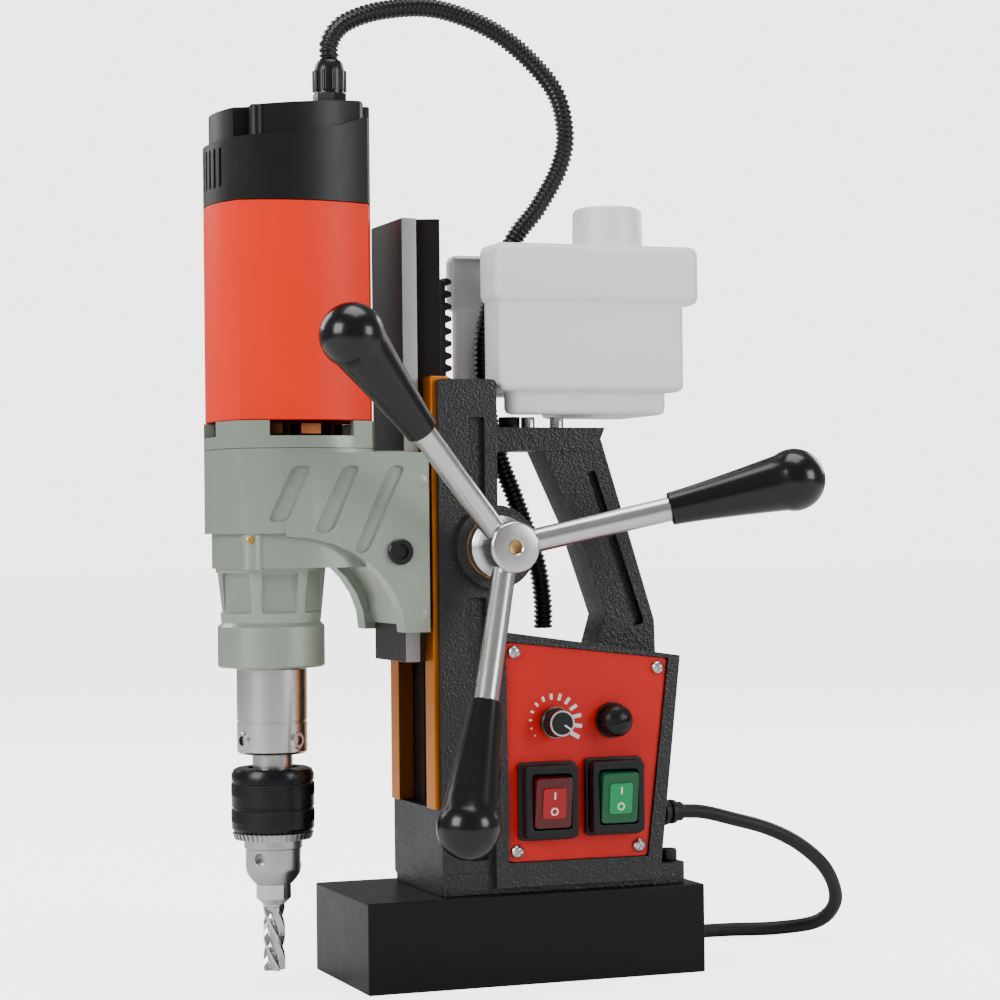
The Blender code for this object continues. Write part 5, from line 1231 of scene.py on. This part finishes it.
# --- Capstan --------------------------------------------------------------------------------
@dataclass
class Capstan:
    """The feed pinion, the hub and the three levers with their grips."""

    centre: Point = (0.0, -0.020, 0.218)
    crossing: float = 0.0560
    phase: float = 13.4
    lean: float = 19.6
    rod_radius: float = 0.006
    ball_reach: float = 0.1455
    ball_radius: float = 0.0155
    neck_radius: float = 0.0082
    grip_length: float = 0.0785
    levers: int = 3

    def build(self) -> None:
        """Build the hub and each lever."""
        self._hub()
        for number in range(self.levers):
            self._lever(number)
        keep_nodes(GROUND_STEEL, "pinion_shaft")

    def _placed(self, shape: Solid, number: int) -> Solid:
        """Lean a shape that lies along Y and turn it to its lever's place."""
        lean = Matrix.Rotation(-math.radians(self.lean), 4, "Z")
        turn = Matrix.Rotation(math.radians(self.phase) + math.tau * number / self.levers, 4, "X")
        place = Matrix.Translation((self.crossing, self.centre[1], self.centre[2])) @ turn @ lean
        bmesh.ops.transform(shape.work, matrix=place, verts=shape.work.verts)
        return shape

    def _hub(self) -> None:
        """Build the bright hub with its centre hole and the holes where the levers enter."""
        profile = [(0.0, 0.0616), (0.0063, 0.0616), (0.0063, 0.0425), (0.0150, 0.0425), (0.0155, 0.0430),
                   (0.0155, 0.0480), (0.0148, 0.0486), (0.01285, 0.0500), (0.01285, 0.0672),
                   (0.0122, 0.0684), (0.0110, 0.0690), (0.0040, 0.0690), (0.0034, 0.0684),
                   (0.0034, 0.0655), (0.0, 0.0650)]
        shape = Solid.turned(profile, Axis.X, self.centre, 72)
        shape.paint(1, lambda face: face.calc_center_median().x > 0.0649
                    and (face.calc_center_median() - Vector(self.centre)).yz.length < 0.0034)
        for number in range(self.levers):
            hole = Solid.rod(self.rod_radius + 0.0003, Axis.Y, (0.0, 0.0, 0.0), 0.0092, 0.03, 32)
            shape.cut(self._placed(hole, number))
        shape.piece("capstan_hub", [HUB_STEEL, BRONZE], Body.CAPSTAN, ["lever_hub"])

    def _lever(self, number: int) -> None:
        """Build one lever: its polished bar and its pear-shaped grip."""
        start = self.ball_reach + self.ball_radius - self.grip_length
        bar = Solid.rod(self.rod_radius, Axis.Y, (0.0, 0.0, 0.0), 0.0095, start + 0.024, 40, 0.0004)
        self._placed(bar, number).piece(f"lever_bar_{number + 1}", HUB_STEEL, Body.CAPSTAN,
                                        [f"lever_rod_{number + 1}"])
        bore = self.rod_radius + 0.0003
        profile = [(0.0, start + 0.0246), (bore, start + 0.0246), (bore, start + 0.0003),
                   (self.neck_radius - 0.0006, start), (self.neck_radius, start + 0.0006)]
        swell = math.radians(25)
        end_y = self.ball_reach - self.ball_radius * math.sin(swell)
        end_r = self.ball_radius * math.cos(swell)
        for step in range(1, 15):
            share = step / 15
            profile.append((self.neck_radius + (end_r - self.neck_radius) * share ** 1.25,
                            start + (end_y - start) * share))
        for step in range(14):
            angle = -swell + (math.pi / 2 + swell) * step / 14
            profile.append((self.ball_radius * math.cos(angle),
                            self.ball_reach + self.ball_radius * math.sin(angle)))
        profile.append((0.0, self.ball_reach + self.ball_radius))
        grip = Solid.turned(profile, Axis.Y, (0.0, 0.0, 0.0), 56)
        self._placed(grip, number).piece(f"grip_{number + 1}", GRIP_BLACK, Body.CAPSTAN,
                                         [f"lever_grip_{number + 1}"])


# --- Carriage -------------------------------------------------------------------------------
def bulged_outline(step_in: float = 0.0, steps: int = 14) -> list[Pair]:
    """Return the motor's plan: a square with four crisp corners and bowed sides.

    Args:
        step_in: how far the outline is set inside the motor's own.
        steps: the number of lines on each side.

    Returns:
        The outline, in X and Y.
    """
    half_x, front, rear, bulge = 0.0305 - step_in, -0.148 + step_in, -0.082 - step_in, 0.008
    corners = [(half_x, front), (half_x, rear), (-half_x, rear), (-half_x, front)]
    outward = [(1, 0), (0, 1), (-1, 0), (0, -1)]
    outline = []
    for (x0, y0), (x1, y1), (nx, ny) in zip(corners, corners[1:] + corners[:1], outward):
        for step in range(steps):
            share = step / steps
            swell = bulge * 4 * share * (1 - share)
            outline.append((x0 + (x1 - x0) * share + nx * swell, y0 + (y1 - y0) * share + ny * swell))
    return outline


@dataclass
class Motor:
    """The motor's orange shell, its black top cap and what shows inside."""

    bottom: float = 0.2814
    seam: float = 0.3885
    wall: float = 0.003
    lid_step: float = 0.0028
    slot_low: float = 0.396
    slot_high: float = 0.4155
    slots: tuple[float, ...] = (-0.0170, -0.0115, -0.0058, 0.0, 0.0058, 0.0115, 0.0170)

    def build(self) -> None:
        """Build the shell and the cap."""
        shell = Solid.slab(bulged_outline(), Axis.Z, self.bottom, self.seam, rim=0.0005)
        shell.cut(Solid.slab(bulged_outline(self.wall), Axis.Z, self.bottom - 0.01, self.seam + 0.01))
        shell.piece("orange_shell", ORANGE, Body.CARRIAGE, ["motor_housing"], sharp=24)
        self._cap()
        keep_nodes(LAMINATION, "field_core")
        # The armature takes the copper darkened as painted shade for its place inside the motor.
        keep_nodes(COPPER_DARKENED_AS_SHADE, "armature")

    def _cap(self) -> None:
        """Build the top cap: a sloping ring, a lid set into it, air slots and a corner rib."""
        low = self.seam + 0.0003
        over = 0.46
        cap = Solid.slab(bulged_outline(), Axis.Z, low, 0.4340)
        cap.cut(Solid.slab([(-0.17, 0.4172), (-0.112, 0.4232), (-0.098, 0.4262), (-0.084, 0.4312),
                            (-0.06, 0.4340), (-0.06, over), (-0.17, over)], Axis.X, -0.06, 0.06))
        lid = Solid.slab(bulged_outline(self.lid_step), Axis.Z, 0.405, 0.4450)
        lid.cut(Solid.slab([(-0.17, 0.4325), (-0.150, 0.4345), (-0.112, 0.4375), (-0.070, 0.4412),
                            (-0.06, 0.4412), (-0.06, over), (-0.17, over)], Axis.X, -0.06, 0.06))
        for side in (-1, 1):
            lid.cut(Solid.block((min(side * 0.0220, side * 0.05), -0.17, 0.4185),
                                (max(side * 0.0220, side * 0.05), -0.1405, over)))
            lid.join(Solid.rod(0.0034, Axis.Z, (side * 0.0300, -0.1385, 0.0), 0.410, 0.4352, 28, 0.0006))
        tab = Solid.block((-0.0135, -0.0790, 0.4200), (0.0135, -0.0752, 0.4395), 0.0006)
        cap.join(lid, tab)
        cap.cut(Solid.slab(bulged_outline(self.wall), Axis.Z, low - 0.01, 0.404),
                Solid.rod(0.0051, Axis.Z, (0.0, -0.117, 0.0), 0.403, 0.414, 24))
        for x in self.slots:
            slot = Solid.slab([(x - 0.0011, self.slot_low), (x + 0.0011, self.slot_low),
                               (x + 0.0011, self.slot_high), (x - 0.0011, self.slot_high)],
                              Axis.Y, -0.17, -0.1505, corner=0.0010)
            cap.cut(slot)
        cap.soften(0.0005, 35)
        cap.piece("top_cap", CAP_BLACK, Body.CARRIAGE, ["motor_top_cap"], sharp=30)


@dataclass
class GearCase:
    """The gear housing with its ribs and pockets, the vented cover and the clamp screws."""

    cheek_face: float = 0.0388
    pocket_depth: float = 0.0019
    pockets: tuple[tuple[Pair, ...], ...] = (
        ((-0.1245, 0.2590), (-0.1144, 0.2590), (-0.1266, 0.2315), (-0.1366, 0.2315)),
        ((-0.0984, 0.2590), (-0.0895, 0.2590), (-0.1043, 0.2262), (-0.1144, 0.2262)),
        ((-0.0750, 0.2590), (-0.0662, 0.2590), (-0.0862, 0.2160), (-0.0940, 0.2160)))
    dots: tuple[Pair, ...] = ((-0.0586, 0.2513), (-0.0586, 0.1850))
    screw_spot: Pair = (-0.0700, 0.2163)
    neck_panels: tuple[float, ...] = (-162.0, -110.0, -58.0, -6.0, 46.0)
    axis: Point = (0.0, -0.125, 0.0)

    def build(self) -> None:
        """Build the case, the cover and the screws."""
        self._case()
        Solid.of_node("gear_cover").soften(0.0004, 40).piece(
            "case_cover", GREY_ENAMEL, Body.CARRIAGE, ["gear_cover"], sharp=30)
        for side, name in ((1, "near"), (-1, "far")):
            self._clamp_screw(side, name)
        self._vent_screws()
        keep_nodes(BRIGHT_STEEL, "spindle_bearing_lower", "spindle_bearing_upper")
        keep_nodes(GROUND_STEEL, "intermediate_gear")

    def _surface(self, y: float) -> float:
        """Return how far out the case's side is at this Y."""
        share = (y + 0.115) / 0.033
        bowed = 0.0313 + 0.008 * (1 - share * share) if abs(share) < 1 else 0.0
        return max(bowed, self.cheek_face if y > -0.128 else 0.0)

    def _pocket(self, corners: Sequence[Pair], side: int) -> Solid:
        """Return the tool for one slanted pocket, whose floor follows the case's side."""
        tool = Solid.slab(corners, Axis.X, 0.030, 0.050, corner=0.0036, steps=5)
        for vertex in tool.work.verts:
            if vertex.co.x < 0.04:
                vertex.co.x = self._surface(vertex.co.y) - self.pocket_depth
        if side < 0:
            bmesh.ops.mirror(tool.work, geom=[*tool.work.verts, *tool.work.edges, *tool.work.faces],
                             matrix=Matrix.Identity(4), merge_dist=-1, axis="X")
            beyond = [vertex for vertex in tool.work.verts if vertex.co.x > 0]
            bmesh.ops.delete(tool.work, geom=beyond, context="VERTS")
            bmesh.ops.recalc_face_normals(tool.work, faces=tool.work.faces)
        return tool

    def _case(self) -> None:
        """Build the case from the frame's node, with pockets, dots and a front boss."""
        case = Solid.of_node("gear_housing")
        for side in (1, -1):
            case.cut(*[self._pocket(corners, side) for corners in self.pockets])
            case.join(Solid.rod(0.0058, Axis.Z, (side * 0.0272, -0.1420, 0.0), 0.2085, 0.2275, 32))
        for place in self.neck_panels:
            tool = Solid.block((0.0228, -0.0092, 0.1868), (0.040, 0.0092, 0.2068), 0.0012)
            case.cut(tool.turn(place, Axis.Z, (0.0, 0.0, 0.0)).shift(self.axis))
        case.soften(0.0005, 38)
        for side in (1, -1):
            for y, z in self.dots:
                base = side * self.cheek_face
                low, high = sorted((base - side * 0.0004, base + side * 0.0005))
                case.add(Solid.rod(0.0031, Axis.X, (0.0, y, z), low, high, 32, 0.0003))
        case.piece("gear_case", GREY_ENAMEL, Body.CARRIAGE, ["gear_housing"], sharp=30)

    def _clamp_screw(self, side: int, name: str) -> None:
        """Build one socket screw that clamps a cheek."""
        y, z = self.screw_spot
        face = self.cheek_face + 0.0003
        profile = [(0.0, 0.0272), (0.0030, 0.0272), (0.0030, face), (0.0060, face), (0.0064, face + 0.0004),
                   (0.0064, face + 0.0018), (0.0058, face + 0.0024), (0.0038, face + 0.0024)]
        profile += [(0.0036, face + 0.0006), (0.0, face + 0.0006)]
        shape = Solid.turned([(radius, side * along) for radius, along in profile], Axis.X,
                             (0.0, y, z), 48)
        shape.piece(f"cheek_screw_{name}", SCREW_BLACK, Body.CARRIAGE, [f"clamp_screw_{name}"])

    def _vent_screws(self) -> None:
        """Build the small brass screws under the case's front rim."""
        screws = Solid()
        for side in (1, -1):
            screws.add(Solid.rod(0.0021, Axis.X, (0.0, -0.1440, 0.2230),
                                 *sorted((side * 0.0315, side * 0.0334)), 24, 0.0005))
        screws.piece("brass_screws", BRASS, Body.CARRIAGE)


@dataclass
class Slide:
    """The dovetail slide and the rack on its back."""

    edge_x: float = 0.0249

    def build(self) -> None:
        """Build the slide with its bright milled edges, and the rack."""
        slide = Solid.of_node("slide").soften(0.0004)
        slide.paint(1, lambda face: abs(face.normal.x) > 0.9 and abs(face.calc_center_median().x) > self.edge_x)
        slide.piece("dovetail_slide", [SLIDE_BLACK, SLIDE_EDGE], Body.CARRIAGE, ["slide"])
        Solid.of_node("rack").soften(0.0002, 40, 1).piece("feed_rack", CHUCK_BLACK, Body.CARRIAGE, ["rack"])


# --- Spindle and chuck ----------------------------------------------------------------------
@dataclass
class Drill:
    """The spindle with its arbor, the keyed chuck and the cutter."""

    axis: Point = (0.0, -0.125, 0.0)
    arbor_low: float = 0.1167
    arbor_high: float = 0.1594
    arbor_radius: float = 0.0175
    set_screw_angles: Pair = (-69.5, 28.5)
    set_screw_height: float = 0.1237
    knurls: tuple[Pair, ...] = ((0.0960, 0.1022), (0.0830, 0.0892))
    sleeve_radius: float = 0.02075

    def build(self) -> None:
        """Build the turning parts below the gear case."""
        self._arbor()
        self._chuck_body()
        self._chuck_sleeve()
        keep_nodes(BRIGHT_STEEL, "cutter")

    def _arbor(self) -> None:
        """Build the spindle: arbor, shaft and gear, with two set screws in the arbor."""
        low, high, radius = self.arbor_low, self.arbor_high, self.arbor_radius
        profile = [(0.0, 0.1514), (0.0098, 0.1514), (0.0098, low), (radius - 0.0012, low),
                   (radius, low + 0.0012), (radius, low + 0.0155), (radius - 0.0005, low + 0.0158),
                   (radius - 0.0005, low + 0.0164), (radius, low + 0.0167), (radius, high - 0.0008),
                   (radius - 0.0008, high), (0.010, high), (0.010, 0.2162), (0.008, 0.2162),
                   (0.008, 0.2414), (0.0, 0.2414)]
        shape = Solid.turned(profile, Axis.Z, self.axis, 96)
        for angle in self.set_screw_angles:
            ring = Solid.turned([(0.0, 0.0160), (0.0040, 0.0160), (0.0042, 0.0180), (0.0036, 0.0186),
                                 (0.0024, 0.0186), (0.0022, 0.0168), (0.0, 0.0168)], Axis.X, steps=32)
            ring.paint(1, lambda face: face.calc_center_median().yz.length < 0.0023
                       and face.calc_center_median().x > 0.0164)
            ring.turn(angle, Axis.Z, (0.0, 0.0, 0.0))
            ring.shift((0.0, self.axis[1], self.set_screw_height))
            shape.add(ring)
        teeth = 25
        outline = []
        for tooth in range(teeth):
            for share, reach in ((0.0, 0.0113), (0.30, 0.0113), (0.42, 0.0133), (0.86, 0.0133)):
                angle = math.tau * (tooth + share) / teeth
                outline.append((reach * math.cos(angle), self.axis[1] + reach * math.sin(angle)))
        shape.add(Solid.slab(outline, Axis.Z, 0.2310, 0.2410))
        shape.piece("arbor", [BRIGHT_STEEL, SCREW_BLACK], Body.SPINDLE, ["spindle"])

    def _chuck_body(self) -> None:
        """Build the chuck's body with its key holes, nose and jaws' mouth."""
        profile = [(0.0, 0.1509), (0.0095, 0.1509), (0.0095, 0.1164), (0.0100, 0.1164), (0.0100, 0.1090),
                   (0.0145, 0.1078), (0.0145, 0.0700), (0.0138, 0.0694), (0.0138, 0.0600),
                   (0.0132, 0.0572), (0.0112, 0.0542), (0.0092, 0.0521), (0.0066, 0.0521),
                   (0.0063, 0.0526), (0.0063, 0.0861), (0.0, 0.0861)]
        shape = Solid.turned(profile, Axis.Z, self.axis, 72)
        for hole in range(3):
            tool = Solid.rod(0.0030, Axis.X, (0.0, 0.0, 0.0650), 0.0095, 0.03, 24)
            tool.turn(-45.0 + 120.0 * hole, Axis.Z, (0.0, 0.0, 0.0))
            shape.cut(tool.shift(self.axis))
        shape.soften(0.0002, 60)
        shape.piece("chuck_nose", GROUND_STEEL, Body.SPINDLE, ["chuck_body"])

    def _chuck_sleeve(self) -> None:
        """Build the black sleeve with two knurled bands and its toothed ring."""
        radius, inner = self.sleeve_radius, 0.0148
        profile = [(inner, 0.0778), (0.0190, 0.0778), (radius - 0.0008, 0.0790), (radius - 0.0002, 0.0800),
                   (radius - 0.0002, 0.0826)]
        for low, high in reversed(self.knurls):
            rows = 11
            for row in range(rows):
                profile.append((radius - 0.0002, low + (high - low) * row / (rows - 1)))
            profile += [(radius - 0.0006, high + 0.0003), (radius - 0.0006, high + 0.0012),
                        (radius - 0.0002, high + 0.0015)]
        profile += [(radius - 0.0002, 0.1066), (radius - 0.0014, 0.1090), (radius - 0.0032, 0.1098),
                    (0.0125, 0.1098), (inner, 0.1082)]
        shape = Solid.turned(profile, Axis.Z, self.axis, 240, closed=True)
        self._knurl(shape, 240)
        ring = self._toothed_ring(inner)
        shape.add(ring.paint(1, lambda face: True))
        shape.piece("knurled_sleeve", [CHUCK_BLACK, GROUND_STEEL], Body.CHUCK_SLEEVE, ["chuck_sleeve"],
                    sharp=28)

    def _knurl(self, shape: Solid, sides: int) -> None:
        """Raise and sink the grid points of the knurled bands in turn, which makes diamonds."""
        centre = Vector(self.axis)
        for vertex in shape.work.verts:
            for low, high in self.knurls:
                if not low + 1e-5 < vertex.co.z < high - 1e-5:
                    continue
                out = vertex.co - centre
                out.z = 0.0
                if out.length < 0.0195:
                    continue
                row = round((vertex.co.z - low) / (high - low) * 10)
                column = round(math.atan2(out.y, out.x) / math.tau * sides)
                raised = 0.00018 if (row + column) % 2 == 0 else -0.00022
                vertex.co += out.normalized() * raised

    def _toothed_ring(self, inner: float) -> Solid:
        """Return the bevelled ring of teeth that the chuck key turns."""
        ring = Solid.turned([(inner, 0.0743), (0.0180, 0.0743), (0.0192, 0.0776), (inner, 0.0776)],
                            Axis.Z, self.axis, 90, closed=True)
        centre = Vector(self.axis)
        sides = [face for face in ring.work.faces
                 if (face.calc_center_median() - centre).xy.length > 0.0180]
        around = sorted(sides, key=lambda face: math.atan2(face.calc_center_median().y - centre.y,
                                                           face.calc_center_median().x))
        crests = [face for spot, face in enumerate(around) if spot % 2 == 0]
        grown = bmesh.ops.extrude_discrete_faces(ring.work, faces=crests)["faces"]
        for face in grown:
            out = face.calc_center_median() - centre
            out.z = 0.0
            bmesh.ops.translate(ring.work, verts=face.verts, vec=out.normalized() * 0.0011)
            bmesh.ops.scale(ring.work, verts=face.verts, vec=(0.97, 0.97, 1.0),
                            space=Matrix.Translation(-face.calc_center_median()))
        bmesh.ops.recalc_face_normals(ring.work, faces=ring.work.faces)
        return ring


def main() -> None:
    """Build the studio, then each sub-assembly."""
    logging.basicConfig(level=logging.INFO, format="%(name)s: %(message)s")
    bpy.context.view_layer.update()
    Studio().build()
    for part in (MainsLead(), WiringHose(), Stand(), ControlBox(), CoolantBottle(), Capstan(), Motor(),
                 GearCase(), Slide(), Drill()):
        part.build()
        log.info("finished %s", type(part).__name__)
    bpy.context.view_layer.update()


if __name__ == "__main__":
    main()
